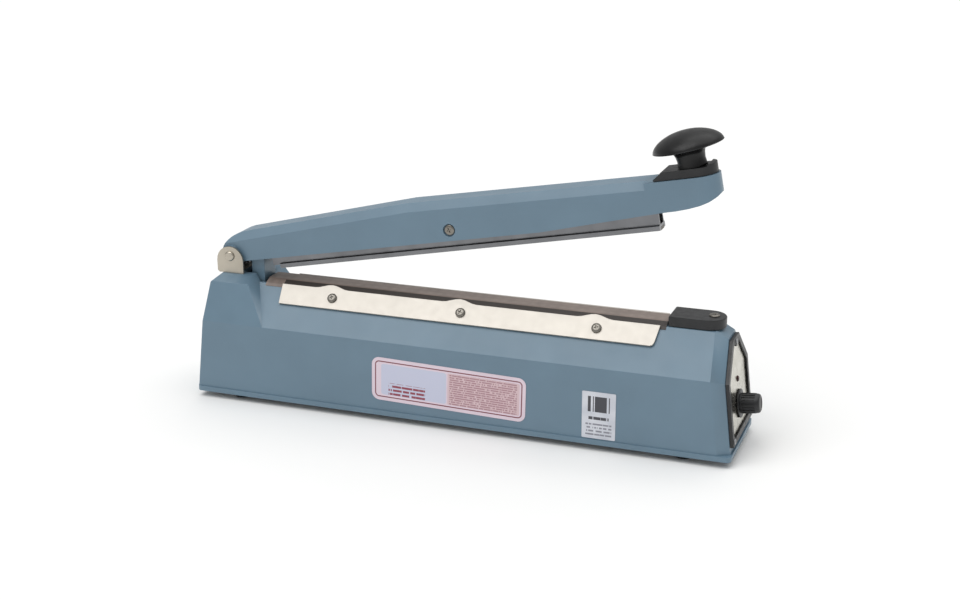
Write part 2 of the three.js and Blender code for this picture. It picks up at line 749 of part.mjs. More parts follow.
function addRail(base) {
  const rail = prism(
    "x",
    mirrored([
      [RAIL_FOOT_HALF, RIDGE_HEIGHT + LAYER_GAP],
      [RAIL_TOP_HALF, RAIL_TOP],
    ]),
    RAIL_LEFT,
    RAIL_RIGHT,
  );
  node(base, "sealing_rail", rail, "aluminium");
  const tape = box(RAIL_LEFT, RAIL_RIGHT, -TAPE_HALF, TAPE_HALF, RAIL_TOP + LAYER_GAP, TAPE_TOP);
  node(base, "insulating_tape", tape, "tape");
  const legX = RAIL_LEFT - 0.6;
  const ribbonEnd = RIGHT_TERMINAL_X + 2;
  const ribbon = box(legX, ribbonEnd, -ELEMENT_HALF, ELEMENT_HALF, TAPE_TOP + LAYER_GAP, ELEMENT_TOP);
  const leg = box(
    legX,
    legX + ELEMENT_THICKNESS,
    -ELEMENT_HALF,
    ELEMENT_HALF,
    RIDGE_HEIGHT - 10,
    ELEMENT_TOP,
  );
  node(base, "heating_element", join(ribbon, leg), "steel");
  node(base, "ptfe_cover_sheet", coverSheet(), "ptfe");
  for (const [place, matrix, side] of [
    ["front", frontSlope, 1],
    ["rear", rearSlope, -1],
  ]) {
    const slope = frame(base, matrix);
    const underPlate = LAYER_GAP + SHEET_THICKNESS + TURNED_GAP;
    node(slope, `clamp_plate_${place}`, clampPlate(side), "cream_nickel").position.z = underPlate;
    plateScrewXs().forEach((x, i) => {
      const fixing = node(slope, `clamp_screw_${place}_${i + 1}`, screw(CLAMP_SCREW), "nickel");
      fixing.position.set(side * x, PLATE_SCREW_S, underPlate + PLATE_THICKNESS + LAYER_GAP);
      fixing.rotation.z = 0.5 + i * 0.7;
    });
  }
}

function addTerminals(base) {
  const floor = RIDGE_HEIGHT + LAYER_GAP;
  const shell = prism("z", dPlan(COVER_LEFT, COVER_RIGHT, COVER_HALF), floor, RIDGE_HEIGHT + COVER_HEIGHT);
  const inside = prism(
    "z",
    dPlan(COVER_LEFT + COVER_WALL, COVER_SCREW_X - 5, COVER_HALF - COVER_WALL),
    floor - 1,
    RIDGE_HEIGHT + COVER_HEIGHT - COVER_WALL,
  );
  const slot = box(
    COVER_LEFT - 1,
    COVER_LEFT + COVER_WALL + 1,
    -ELEMENT_HALF - 1,
    ELEMENT_HALF + 1,
    floor - 1,
    ELEMENT_TOP + 1,
  );
  const bore = rod(
    "z",
    COVER_SCREW_X,
    0,
    COVER_SCREW.shank + HOLE_CLEARANCE,
    floor - 1,
    RIDGE_HEIGHT + COVER_HEIGHT + 1,
    16,
  );
  node(base, "terminal_cover", cut(shell, inside, slot, bore), "black_plastic");
  const coverScrew = node(base, "terminal_cover_screw", screw(COVER_SCREW), "nickel");
  coverScrew.position.set(COVER_SCREW_X, 0, RIDGE_HEIGHT + COVER_HEIGHT + LAYER_GAP);
  coverScrew.rotation.z = 0.4;

  const block = (x, z0, z1) => box(x, x + TERMINAL_LENGTH, -TERMINAL_HALF, TERMINAL_HALF, z0, z1);
  node(base, "element_terminal_right", block(RIGHT_TERMINAL_X, floor, TAPE_TOP), "brass");
  const underRidge = RIDGE_HEIGHT - WALL - LAYER_GAP;
  const leftBlock = block(RAIL_LEFT, underRidge - 9, underRidge);
  node(base, "element_terminal_left", leftBlock, "brass");
}

function addHinge(base) {
  const inner = ARM_HALF + EAR_GAP;
  const outer = inner + BRACKET_THICKNESS;
  const floor = TOWER_TOP + LAYER_GAP;
  const earCentre = TOWER_TOP + EAR_RISE - EAR_RADIUS;
  const ear = new THREE.Shape();
  ear.moveTo(PIN_X - EAR_RADIUS, floor + 1.5);
  ear.lineTo(PIN_X - EAR_RADIUS + 1.5, floor);
  ear.lineTo(PIN_X + EAR_RADIUS, floor);
  ear.absarc(PIN_X, earCentre, EAR_RADIUS, 0, Math.PI);
  const web = box(
    PIN_X - EAR_RADIUS,
    PIN_X - EAR_RADIUS + BRACKET_THICKNESS,
    -outer,
    outer,
    floor + 1.5,
    earCentre,
  );
  const plate = box(
    PIN_X - EAR_RADIUS + 1.5,
    POCKET_LEFT - 0.5,
    -outer,
    outer,
    floor,
    floor + BRACKET_THICKNESS,
  );
  const pinHole = rod("y", PIN_X, PIN_Z, PIN_RADIUS + HOLE_CLEARANCE, -outer - 1, outer + 1);
  const screwHoles = [-BRACKET_SCREW_Y, BRACKET_SCREW_Y].map((y) =>
    rod("z", PIN_X, y, CLAMP_SCREW.shank + HOLE_CLEARANCE, floor - 1, floor + BRACKET_THICKNESS + 1, 12),
  );
  const bracket = cut(
    join(prism("y", ear, -outer, -inner), prism("y", ear, inner, outer), web, plate),
    pinHole,
    ...screwHoles,
  );
  node(base, "hinge_bracket", bracket, "nickel");
  [-BRACKET_SCREW_Y, BRACKET_SCREW_Y].forEach((y, i) => {
    const fixing = node(base, `bracket_screw_${i + 1}`, screw(CLAMP_SCREW), "steel");
    fixing.position.set(PIN_X, y, floor + BRACKET_THICKNESS + LAYER_GAP);
  });

  const head = outer + LAYER_GAP;
  const pin = turned([
    [0, -head - PIN_HEAD_HEIGHT],
    [PIN_HEAD_RADIUS - 0.8, -head - PIN_HEAD_HEIGHT],
    [PIN_HEAD_RADIUS, -head - 0.7],
    [PIN_HEAD_RADIUS, -head],
    [PIN_RADIUS, -head],
    [PIN_RADIUS, head],
    [PIN_HEAD_RADIUS, head],
    [PIN_HEAD_RADIUS, head + 0.7],
    [PIN_HEAD_RADIUS - 0.8, head + PIN_HEAD_HEIGHT],
    [0, head + PIN_HEAD_HEIGHT],
  ]);
  const pinMesh = node(base, "hinge_pin", pin, "nickel");
  pinMesh.position.set(PIN_X, 0, PIN_Z);
  pinMesh.rotation.x = Math.PI / 2;
}

// ---- Timer end ----

const PANEL_FRONT = TURNED_GAP + PANEL_THICKNESS;
const KNOB_START = PANEL_FRONT + TURNED_GAP;

function addTimerEnd(base) {
  const end = frame(base, rightEnd);
  const outer = house(BEZEL_INSET, BEZEL_FOOT);
  const opening = house(BEZEL_INSET + BEZEL_BAND, BEZEL_FOOT + BEZEL_BAND);
  const rebate = BEZEL_BAND / 2;
  const lid = PANEL_FRONT + TURNED_GAP;
  const holes = (radius, from, to) =>
    bezelScrewPlaces().map(([, y, z]) => rod("x", y, z, radius, from, to, 12));
  const pads = holes(BEZEL_SCREW.head + 1.4, lid, TURNED_GAP + BEZEL_THICKNESS);
  const ring = cut(
    prism("x", outer, TURNED_GAP, TURNED_GAP + BEZEL_THICKNESS),
    prism("x", opening, 0, BEZEL_THICKNESS + 1),
    prism("x", house(BEZEL_INSET + rebate, BEZEL_FOOT + rebate), 0, lid),
  );
  const clearHoles = holes(BEZEL_SCREW.shank + HOLE_CLEARANCE, 0, BEZEL_THICKNESS + 1);
  node(end, "end_bezel", cut(join(ring, ...pads), ...clearHoles), "black_plastic");

  const panelEdge = rebate + TURNED_GAP;
  const panel = cut(
    prism("x", house(BEZEL_INSET + panelEdge, BEZEL_FOOT + panelEdge), TURNED_GAP, PANEL_FRONT),
    rod("x", 0, TIMER_Z, TIMER_SHAFT_RADIUS + 2, 0, 3),
    rod("x", 0, LAMP_Z, LAMP_RADIUS + HOLE_CLEARANCE, 0, 3, 16),
    ...holes(BEZEL_SCREW.shank + 0.6, 0, 3),
  );
  node(end, "control_panel", panel, "panel");

  for (const [place, y, z] of bezelScrewPlaces()) {
    const fixing = node(end, `bezel_screw_${place}`, screw(BEZEL_SCREW), "steel");
    fixing.rotation.y = Math.PI / 2;
    fixing.position.set(TURNED_GAP + BEZEL_THICKNESS + LAYER_GAP, y, z);
  }

  const lamp = turned(
    [
      [0, -9],
      [LAMP_RADIUS, -9],
      [LAMP_RADIUS, 0.4],
      [LAMP_RADIUS * 0.7, 1.1],
      [0, 1.4],
    ],
    16,
  );
  const lampMesh = node(end, "indicator_lamp", lamp, "lamp");
  lampMesh.rotation.y = Math.PI / 2;
  lampMesh.position.set(PANEL_FRONT, 0, LAMP_Z);

  const potBody = rod("x", 0, TIMER_Z, 8.4, -9.5, -0.2, 20);
  const potBush = rod("x", 0, TIMER_Z, TIMER_SHAFT_RADIUS + 1.4, -1, PANEL_FRONT, 20);
  const potBore = rod("x", 0, TIMER_Z, TIMER_SHAFT_RADIUS + RUNNING_CLEARANCE, -8, 5, 20);
  node(end, "timer_potentiometer", cut(join(potBody, potBush), potBore), "steel");

  const tip = TIMER_KNOB_RADIUS - 0.6;
  const knobProfile = [
    [0, -KNOB_START - 7],
    [TIMER_SHAFT_RADIUS, -KNOB_START - 7],
    [TIMER_SHAFT_RADIUS, 0],
    [TIMER_FLANGE_RADIUS, 0],
    [TIMER_FLANGE_RADIUS, 1.1],
    [TIMER_KNOB_RADIUS, 1.5],
    [tip, TIMER_KNOB_LENGTH - 1.2],
    [tip - 1.2, TIMER_KNOB_LENGTH],
    [0, TIMER_KNOB_LENGTH],
  ];
  const knob = node(end, "timer_knob", turned(knobProfile, 24), "black_plastic");
  knob.rotation.y = Math.PI / 2;
  knob.position.set(KNOB_START, 0, TIMER_Z);

  const left = frame(base, leftEnd);
  const bush = turned(
    [
      [3.5, -WALL - 2],
      [CORD_HOLE_RADIUS + 1.5, -WALL - 2],
      [CORD_HOLE_RADIUS + 1.5, -WALL - TURNED_GAP],
      [CORD_HOLE_RADIUS, -WALL - TURNED_GAP],
      [CORD_HOLE_RADIUS, TURNED_GAP],
      [CORD_HOLE_RADIUS + 2, TURNED_GAP],
      [CORD_HOLE_RADIUS + 1.4, 1.8],
      [3.5, 1.8],
      [3.5, -WALL - 2],
    ],
    20,
  );
  const bushMesh = node(left, "cord_bush", bush, "rubber");
  bushMesh.rotation.y = Math.PI / 2;
  bushMesh.position.z = CORD_HOLE_Z;
}

// ---- Arm ----

// The knob's own frame on the closed arm: its foot is on the nose and its axis leans to the hinge.
const knobLean = new THREE.Matrix4().makeRotationY(-KNOB_LEAN).setPosition(KNOB_X, 0, NOSE_TOP);
const KNOB_FOOT = 2 * TURNED_GAP + SEAT_HEIGHT - KNOB_SINK;

// Heights along the closed arm, from the pin's axis, at a distance x from it.
function armCrease(x) {
  if (x < ARM_PEAK_X) return THREE.MathUtils.lerp(ARM_CREASE_REAR, ARM_CREASE_PEAK, x / ARM_PEAK_X);
  return THREE.MathUtils.lerp(ARM_CREASE_PEAK, ARM_CREASE_FRONT, (x - ARM_PEAK_X) / (NOSE_X - ARM_PEAK_X));
}

function armRoof(x) {
  if (x < ARM_PEAK_X) return THREE.MathUtils.lerp(ARM_ROOF_REAR, ARM_ROOF_PEAK, x / ARM_PEAK_X);
  return THREE.MathUtils.lerp(ARM_ROOF_PEAK, ARM_ROOF_FRONT, (x - ARM_PEAK_X) / (NOSE_X - ARM_PEAK_X));
}

function armRing(x, depth, edge) {
  const half = [
    [ARM_HALF - depth, edge],
    [ARM_HALF - depth, armCrease(x) - depth],
    [ARM_ROOF_HALF - depth / 2, armRoof(x) - depth],
  ];
  return mirrored(half).map(([y, z]) => [x, y, z]);
}

// What lies under the arm's lower edge, as seen from the side.
function underArm() {
  const shape = new THREE.Shape();
  shape.moveTo(-30, -60);
  shape.lineTo(-30, ARM_EDGE_REAR);
  shape.lineTo(28, ARM_EDGE_REAR);
  shape.lineTo(ARM_EDGE_BREAK_X, ARM_EDGE_MIDDLE);
  shape.lineTo(NOSE_X + 3, -2);
  shape.quadraticCurveTo(NOSE_X + 38, -2.2, ARM_LENGTH + 1, 7.2);
  shape.lineTo(ARM_LENGTH + 1, -60);
  return prism("y", shape, -ARM_HALF - 3, ARM_HALF + 3);
}

// What lies over and behind the arm's rounded rear end.
function behindArm() {
  const shape = new THREE.Shape();
  shape.moveTo(-40, -40);
  shape.lineTo(-2, -40);
  shape.lineTo(-2, -BARREL_RADIUS);
  shape.absarc(0, 0, BARREL_RADIUS, -0.58 * Math.PI, -Math.PI, true);
  shape.quadraticCurveTo(-BARREL_RADIUS + 0.4, 9.5, 2, 14.2);
  shape.quadraticCurveTo(8, 17, 18, armRoof(18) + 0.2);
  shape.lineTo(18, 40);
  shape.lineTo(-40, 40);
  return prism("y", shape, -ARM_HALF - 3, ARM_HALF + 3);
}

function armCasting() {
  const ends = [-BARREL_RADIUS, ARM_PEAK_X, NOSE_X];
  const beam = loft(ends.map((x) => armRing(x, 0, -12)));
  const nose = prism("z", dPlan(NOSE_X - 6, ARM_LENGTH, ARM_HALF), -12, NOSE_TOP);
  const skin = cut(join(beam, nose), underArm(), behindArm());

  const channelEnds = [BARREL_END_X, ARM_PEAK_X, NOSE_X - 4];
  const channel = loft(channelEnds.map((x) => armRing(x, ARM_WALL, -40)));
  const noseHollow = prism(
    "z",
    dPlan(NOSE_X - 8, ARM_LENGTH - ARM_WALL, ARM_HALF - ARM_WALL),
    -40,
    NOSE_TOP - ARM_WALL - 2,
  );
  const cheekFace = ARM_HALF + EAR_GAP - TURNED_GAP;
  const cheeks = rod("y", 0, 0, BARREL_RADIUS - 0.5, -cheekFace, cheekFace);
  const [s, c] = [Math.sin(OPEN_ANGLE), Math.cos(OPEN_ANGLE)];
  const closed = (x, z) => [x * c + z * s, z * c - x * s];
  const lug = prism(
    "y",
    [
      closed(LUG_LEFT, 2),
      closed(LUG_LEFT, 5 - LUG_LENGTH),
      closed(LUG_LEFT + 2.5, 1.2 - LUG_LENGTH),
      closed((LUG_LEFT + LUG_RIGHT) / 2, -LUG_LENGTH),
      closed(LUG_RIGHT - 2.5, 1.2 - LUG_LENGTH),
      closed(LUG_RIGHT, 5 - LUG_LENGTH),
      closed(LUG_RIGHT, -3),
      closed(LUG_RIGHT - 3, 1),
      closed(LUG_RIGHT - 3, armCrease(LUG_RIGHT) + 3),
      closed(LUG_LEFT, armCrease(LUG_LEFT) + 3),
    ],
    -LUG_HALF,
    LUG_HALF,
  );
  const lugRoot = box(BARREL_END_X - 1, LUG_RIGHT - 3, -ARM_HALF + 1, ARM_HALF - 1, 0, armCrease(0));
  const boss = (from, to) => rod("y", BAR_PIVOT_X, BAR_PIVOT_Z, PIVOT_BOSS_RADIUS, from, to);
  const wallInside = ARM_HALF - ARM_WALL / 2;
  const bossFace = ARM_HALF - ARM_WALL - PIVOT_BOSS_HEIGHT;
  const body = join(
    cut(skin, channel, noseHollow),
    cheeks,
    lug,
    lugRoot,
    boss(-wallInside, -bossFace),
    boss(bossFace, wallInside),
  );
  const pinBore = rod("y", 0, 0, PIN_RADIUS + RUNNING_CLEARANCE, -ARM_HALF - 3, ARM_HALF + 3);
  const pivotBore = rod(
    "y",
    BAR_PIVOT_X,
    BAR_PIVOT_Z,
    PIVOT_SCREW_RADIUS + HOLE_CLEARANCE,
    -ARM_HALF - 1,
    ARM_HALF + 1,
    20,
  );
  const recess = rod(
    "y",
    BAR_PIVOT_X,
    BAR_PIVOT_Z,
    PIVOT_RECESS_RADIUS,
    -ARM_HALF - 1,
    PIVOT_RECESS_DEPTH - ARM_HALF,
  );
  const knobBore = moved(
    rod("z", 0, 0, KNOB_BOLT_RADIUS + HOLE_CLEARANCE, -NOSE_TOP, 3, 16),
    knobLean,
  );
  return cut(body, pinBore, pivotBore, recess, knobBore);
}

function knobSeat() {
  const plan = prism(
    "z",
    dPlan(NOSE_X + 1, ARM_LENGTH - SEAT_INSET, ARM_HALF - SEAT_INSET),
    NOSE_TOP + TURNED_GAP,
    NOSE_TOP + TURNED_GAP + SEAT_HEIGHT + 1.4,
  );
  const floor = NOSE_TOP + TURNED_GAP;
  const side = prism(
    "y",
    [
      [NOSE_X + 1, floor - 1],
      [ARM_LENGTH, floor - 1],
      [ARM_LENGTH, floor + SEAT_HEIGHT + 1.4],
      [KNOB_X + KNOB_STEM_RADIUS + 1.8, floor + SEAT_HEIGHT + 1.4],
      [KNOB_X + KNOB_STEM_RADIUS + 1.2, floor + SEAT_HEIGHT],
      [NOSE_X + 1 + SEAT_SLANT, floor + SEAT_HEIGHT],
      [NOSE_X + 1, floor + 0.8],
    ],
    -ARM_HALF,
    ARM_HALF,
  );
  const bore = rod("z", 0, 0, KNOB_BOLT_RADIUS + HOLE_CLEARANCE, -3, SEAT_HEIGHT + 3, 16);
  const recessFloor = KNOB_FOOT - TURNED_GAP;
  const recess = rod("z", 0, 0, KNOB_STEM_RADIUS + TURNED_GAP, recessFloor, recessFloor + 9, 28);
  return cut(plan.intersect(side), moved(bore, knobLean), moved(recess, knobLean));
}

function mushroomKnob() {
  const boltRoom = KNOB_BOLT_RADIUS + HOLE_CLEARANCE;
  const rim = KNOB_HEIGHT * 0.56;
  const profile = [
    [boltRoom, 0],
    [KNOB_STEM_RADIUS, 0],
    [KNOB_STEM_RADIUS, KNOB_HEIGHT * 0.24],
    [KNOB_STEM_RADIUS + 1.2, KNOB_HEIGHT * 0.36],
    [KNOB_STEM_RADIUS + 5, KNOB_HEIGHT * 0.43],
    [KNOB_RADIUS - 5, KNOB_HEIGHT * 0.48],
    [KNOB_RADIUS - 0.8, rim - 1.4],
    [KNOB_RADIUS, rim],
    [KNOB_RADIUS - 0.7, rim + 1.4],
  ];
  const domeSteps = 6;
  const domeFoot = rim + 1.4;
  const domeRise = KNOB_HEIGHT - domeFoot;
  for (let i = 1; i < domeSteps; i++) {
    const turn = (i / domeSteps) * (Math.PI / 2);
    profile.push([(KNOB_RADIUS - 0.7) * Math.cos(turn), domeFoot + domeRise * Math.sin(turn)]);
  }
  profile.push([0, KNOB_HEIGHT], [0, KNOB_HEIGHT * 0.62], [boltRoom, KNOB_HEIGHT * 0.62], [boltRoom, 0]);
  return turned(profile, 28);
}

function pressureBar() {
  const wall = BAR_WEB_HALF - BAR_WEB_WALL;
  const footTop = BAR_BOTTOM + BAR_FOOT_THICKNESS;
  const web = prism(
    "x",
    [
      [BAR_WEB_HALF, footTop - 1.5],
      [BAR_WEB_HALF, BAR_WEB_TOP],
      [wall - BAR_HOOK, BAR_WEB_TOP],
      [wall - BAR_HOOK, BAR_WEB_TOP - BAR_WEB_WALL],
      [wall, BAR_WEB_TOP - BAR_WEB_WALL],
      [wall, footTop + 0.1],
      [-wall, footTop + 0.1],
      [-wall, BAR_WEB_TOP - BAR_WEB_WALL],
      [BAR_HOOK - wall, BAR_WEB_TOP - BAR_WEB_WALL],
      [BAR_HOOK - wall, BAR_WEB_TOP],
      [-BAR_WEB_HALF, BAR_WEB_TOP],
      [-BAR_WEB_HALF, footTop - 1.5],
    ],
    BAR_LEFT,
    BAR_RIGHT,
  );
  const foot = prism(
    "x",
    mirrored([
      [BAR_FOOT_HALF, BAR_BOTTOM],
      [BAR_FOOT_HALF, footTop - 0.6],
      [BAR_FOOT_HALF - 0.6, footTop],
    ]),
    BAR_LEFT + BAR_FOOT_INDENT,
    BAR_RIGHT,
  );
  const groove = box(
    BAR_LEFT - 1,
    BAR_RIGHT + 1,
    -STRIP_HALF - LAYER_GAP,
    STRIP_HALF + LAYER_GAP,
    BAR_BOTTOM - 1,
    BAR_BOTTOM + STRIP_DEPTH,
  );
  const pivotHole = rod("y", BAR_PIVOT_X, BAR_PIVOT_Z, BUSH_RADIUS + RUNNING_CLEARANCE, -8, 8);
  return cut(join(web, foot), groove, pivotHole);
}

function addArm(base) {
  const arm = new THREE.Group();
  arm.position.set(PIN_X, 0, PIN_Z);
  arm.rotation.y = -OPEN_ANGLE;
  base.add(arm);
  node(arm, "arm_casting", armCasting(), "enamel");
  node(arm, "knob_seat", knobSeat(), "black_plastic");

  const knobPlace = frame(arm, knobLean);
  node(knobPlace, "mushroom_knob", mushroomKnob(), "black_plastic").position.z = KNOB_FOOT;
  const boltHeadRadius = 5.2;
  const boltHeadTop = -ARM_WALL - 2 - TURNED_GAP - boltHeadRadius * Math.sin(KNOB_LEAN);
  const boltEnd = KNOB_FOOT + KNOB_HEIGHT * 0.55;
  const bolt = join(
    rod("z", 0, 0, boltHeadRadius, boltHeadTop - 4, boltHeadTop, 6),
    rod("z", 0, 0, KNOB_BOLT_RADIUS, boltHeadTop - 1, boltEnd, 16),
  );
  node(knobPlace, "knob_bolt", bolt, "steel");

  const screwFloor = ARM_HALF - PIVOT_RECESS_DEPTH + LAYER_GAP;
  const pivotScrew = screw({
    head: PIVOT_HEAD_RADIUS,
    headHeight: PIVOT_RECESS_DEPTH - 0.2,
    shank: PIVOT_SCREW_RADIUS,
    length: 2 * ARM_HALF - PIVOT_RECESS_DEPTH - 1,
  });
  const screwMesh = node(arm, "bar_pivot_screw", pivotScrew, "nickel");
  screwMesh.rotation.x = Math.PI / 2;
  screwMesh.position.set(BAR_PIVOT_X, -screwFloor, BAR_PIVOT_Z);
  const bushEnd = ARM_HALF - ARM_WALL - PIVOT_BOSS_HEIGHT - TURNED_GAP;
  const bush = cut(
    rod("y", BAR_PIVOT_X, BAR_PIVOT_Z, BUSH_RADIUS, -bushEnd, bushEnd),
    rod("y", BAR_PIVOT_X, BAR_PIVOT_Z, BUSH_BORE, -20, 20, 20),
  );
  node(arm, "bar_pivot_bush", bush, "steel");

  node(arm, "pressure_bar", pressureBar(), "aluminium");
  const strip = box(
    BAR_LEFT + BAR_FOOT_INDENT,
    BAR_RIGHT,
    -STRIP_HALF,
    STRIP_HALF,
    STRIP_BOTTOM,
    BAR_BOTTOM + STRIP_DEPTH - LAYER_GAP * 4,
  );
  node(arm, "silicone_strip", strip, "silicone");
}

// ---- Inside the base ----

class Helix extends THREE.Curve {
  constructor(radius, low, high, turns) {
    super();
    this.radius = radius;
    this.low = low;
    this.high = high;
    this.turns = turns;
  }

  getPoint(t, target = new THREE.Vector3()) {
    const turn = t * this.turns * 2 * Math.PI;
    const z = THREE.MathUtils.lerp(this.low, this.high, t);
    return target.set(this.radius * Math.cos(turn), this.radius * Math.sin(turn), z);
  }
}

function tube(curve, radius, sides, steps) {
  const section = Array.from({ length: sides }, (_, i) => {
    const turn = (i / sides) * 2 * Math.PI;
    return [radius * Math.cos(turn), radius * Math.sin(turn)];
  });
  const geometry = new THREE.ExtrudeGeometry(shapeOf(section), { extrudePath: curve, steps });
  return solid(geometry);
}

function addPushGear(base) {
  const seatTop = BOTTOM_PLATE_TOP + LAYER_GAP + 3;
  const post = turned([
    [0, BOTTOM_PLATE_TOP + LAYER_GAP],
    [CUP_RADIUS, BOTTOM_PLATE_TOP + LAYER_GAP],
    [CUP_RADIUS, seatTop],
    [POST_RADIUS, seatTop],
    [POST_RADIUS, CUP_BOTTOM - CUP_SLEEVE_LENGTH + 16],
    [0, CUP_BOTTOM - CUP_SLEEVE_LENGTH + 16],
  ]);
  node(base, "spring_post", post, "steel").position.x = SPRING_X;

  const bore = POST_RADIUS + RUNNING_CLEARANCE;
  const cup = turned([
    [bore, CUP_BOTTOM - CUP_SLEEVE_LENGTH],
    [CUP_SLEEVE_RADIUS, CUP_BOTTOM - CUP_SLEEVE_LENGTH],
    [CUP_SLEEVE_RADIUS, CUP_BOTTOM],
    [CUP_RADIUS, CUP_BOTTOM],
    [CUP_RADIUS, CUP_TOP],
    [0, CUP_TOP],
    [0, CUP_BOTTOM],
    [bore, CUP_BOTTOM],
    [bore, CUP_BOTTOM - CUP_SLEEVE_LENGTH],
  ]);
  const finger = box(-3, 3, CUP_RADIUS - 3, SWITCH_Y + 3, CUP_BOTTOM, CUP_TOP);
  node(base, "push_cup", join(cup, finger), "steel").position.x = SPRING_X;

  const springLow = seatTop + SPRING_WIRE + LAYER_GAP;
  const springHigh = CUP_BOTTOM - SPRING_WIRE - LAYER_GAP;
  const helix = new Helix(SPRING_RADIUS, springLow + 0.3, springHigh - 0.3, SPRING_TURNS);
  const spring = tube(helix, SPRING_WIRE, 5, SPRING_TURNS * 10);
  node(base, "return_spring", spring, "steel").position.x = SPRING_X;

  const { length, width, height } = SWITCH_SIZE;
  const body = box(
    SPRING_X - length / 2,
    SPRING_X + length / 2,
    SWITCH_Y - width / 2,
    SWITCH_Y + width / 2,
    SWITCH_TOP - height,
    SWITCH_TOP,
  );
  const square = (half, deep, from, to) =>
    box(SPRING_X - half, SPRING_X + half, SWITCH_Y - deep, SWITCH_Y + deep, from, to);
  const well = square(2.4, 1.9, SWITCH_TOP - 6, SWITCH_TOP + 1);
  node(base, "microswitch_body", cut(body, well), "black_plastic");
  const button = square(2, 1.5, SWITCH_TOP - 3.5, BUTTON_TOP);
  node(base, "microswitch_button", button, "lamp");
  const back = SWITCH_Y + width / 2 + LAYER_GAP;
  const low = BOTTOM_PLATE_TOP + LAYER_GAP;
  const sheet = 1.5;
  const left = SPRING_X - length / 2 - 1;
  const right = SPRING_X + length / 2 + 1;
  // The leg stands beside the screw boss; only the part above the boss has the full width.
  const legLeft = Math.max(left, FOOT_LEFT_X + BOSS_RADIUS + 1);
  const shoulder = BOSS_HEIGHT + 2;
  const upright = box(left, right, back, back + sheet, shoulder, SWITCH_TOP + 2);
  const leg = box(legLeft, right, back, back + sheet, low, shoulder + 0.5);
  const toe = box(legLeft, right, CUP_RADIUS + 1, back + sheet, low, low + sheet);
  node(base, "switch_bracket", join(upright, leg, toe), "steel");
}

function addElectrics(base) {
  const floor = BOTTOM_PLATE_TOP + LAYER_GAP;
  const left = CORE.x - CORE.length / 2;
  const right = CORE.x + CORE.length / 2;
  const top = floor + CORE.height;
  const windowWidth = (CORE.length - 4 * CORE.limb) / 2;
  const windows = [left + CORE.limb, right - CORE.limb - windowWidth].map((x) =>
    box(x, x + windowWidth, -CORE.depth, CORE.depth, floor + CORE.limb, top - CORE.limb),
  );
  const block = box(left, right, -CORE.depth / 2, CORE.depth / 2, floor, top);
  node(base, "transformer_core", cut(block, ...windows), "iron");

  const coilHalf = CORE.limb + windowWidth - 0.5;
  const coil = cut(
    box(
      CORE.x - coilHalf,
      CORE.x + coilHalf,
      -COIL_DEPTH / 2,
      COIL_DEPTH / 2,
      floor + CORE.limb + 0.5,
      top - CORE.limb - 0.5,
    ),
    box(
      CORE.x - CORE.limb - 0.3,
      CORE.x + CORE.limb + 0.3,
      -CORE.depth / 2 - 0.3,
      CORE.depth / 2 + 0.3,
      floor,
      top,
    ),
  );
  node(base, "transformer_coil", coil, "copper");

  const { left: boardLeft, right: boardRight, half, z, thickness } = BOARD;
  const boardTop = z + thickness;
  const parts = [
    box(boardLeft + 6, boardLeft + 24, -8, 8, boardTop - 0.5, boardTop + 15),
    rod("z", boardLeft + 36, -12, 6, boardTop - 0.5, boardTop + 14, 16),
    box(boardLeft + 32, boardLeft + 48, 4, 12, boardTop - 0.5, boardTop + 6),
  ];
  const legs = [boardLeft + 3, boardRight - 3].flatMap((x) =>
    [-half + 3, half - 3].map((y) => rod("z", x, y, 2, floor, z + 0.5, 10)),
  );
  const board = join(box(boardLeft, boardRight, -half, half, z, boardTop), ...parts, ...legs);
  node(base, "timer_board", board, "board");

  const leftLead = new THREE.CatmullRomCurve3([
    new THREE.Vector3(RAIL_LEFT + TERMINAL_LENGTH + TURNED_GAP, 0, RIDGE_HEIGHT - WALL - 6),
    new THREE.Vector3(RAIL_LEFT + 30, 0, RIDGE_HEIGHT - 13),
    new THREE.Vector3(left - 30, 0, top - 2),
    new THREE.Vector3(left - 8, 0, floor + CORE.height / 2 + 4),
    new THREE.Vector3(left - 2 * TURNED_GAP, 0, floor + CORE.height / 2),
  ]);
  node(base, "element_lead_left", tube(leftLead, LEAD_RADIUS, 8, 16), "wire");
  const holeX = RIGHT_TERMINAL_X + TERMINAL_LENGTH + 4;
  const rightLead = new THREE.CatmullRomCurve3([
    new THREE.Vector3(RIGHT_TERMINAL_X + TERMINAL_LENGTH + 2 * TURNED_GAP, 0, RIDGE_HEIGHT + 1.7),
    new THREE.Vector3(holeX - 0.6, 0, RIDGE_HEIGHT + 0.4),
    new THREE.Vector3(holeX, 0, RIDGE_HEIGHT - WALL - 3),
    new THREE.Vector3(holeX - 3, 0, 60),
    new THREE.Vector3(boardRight - 5, 0, 40),
    new THREE.Vector3(boardRight - 5, 0, boardTop + TURNED_GAP),
  ]);
  node(base, "element_lead_right", tube(rightLead, LEAD_RADIUS, 8, 24), "wire");
}

function addLabels(base) {
  for (const [name, label, finish] of [
    ["front_label", LABEL, "label"],
    ["front_sticker", STICKER, "sticker"],
  ]) {
    const plate = prism("y", roundedBar(label.length, label.height, label.corner), 0, LABEL_THICKNESS);
    const mesh = node(base, name, plate, finish);
    mesh.position.set(label.x, -WALL_HALF - LABEL_THICKNESS - LAYER_GAP, label.z);
    mesh.rotation.y = label.skew;
  }
}

// ---- Assembly ----

const base = new THREE.Group();
node(base, "base_casting", baseCasting(), "enamel");
addFeet(base);
addRail(base);
addTerminals(base);
addHinge(base);
addTimerEnd(base);
addPushGear(base);
addElectrics(base);
addLabels(base);
addArm(base);

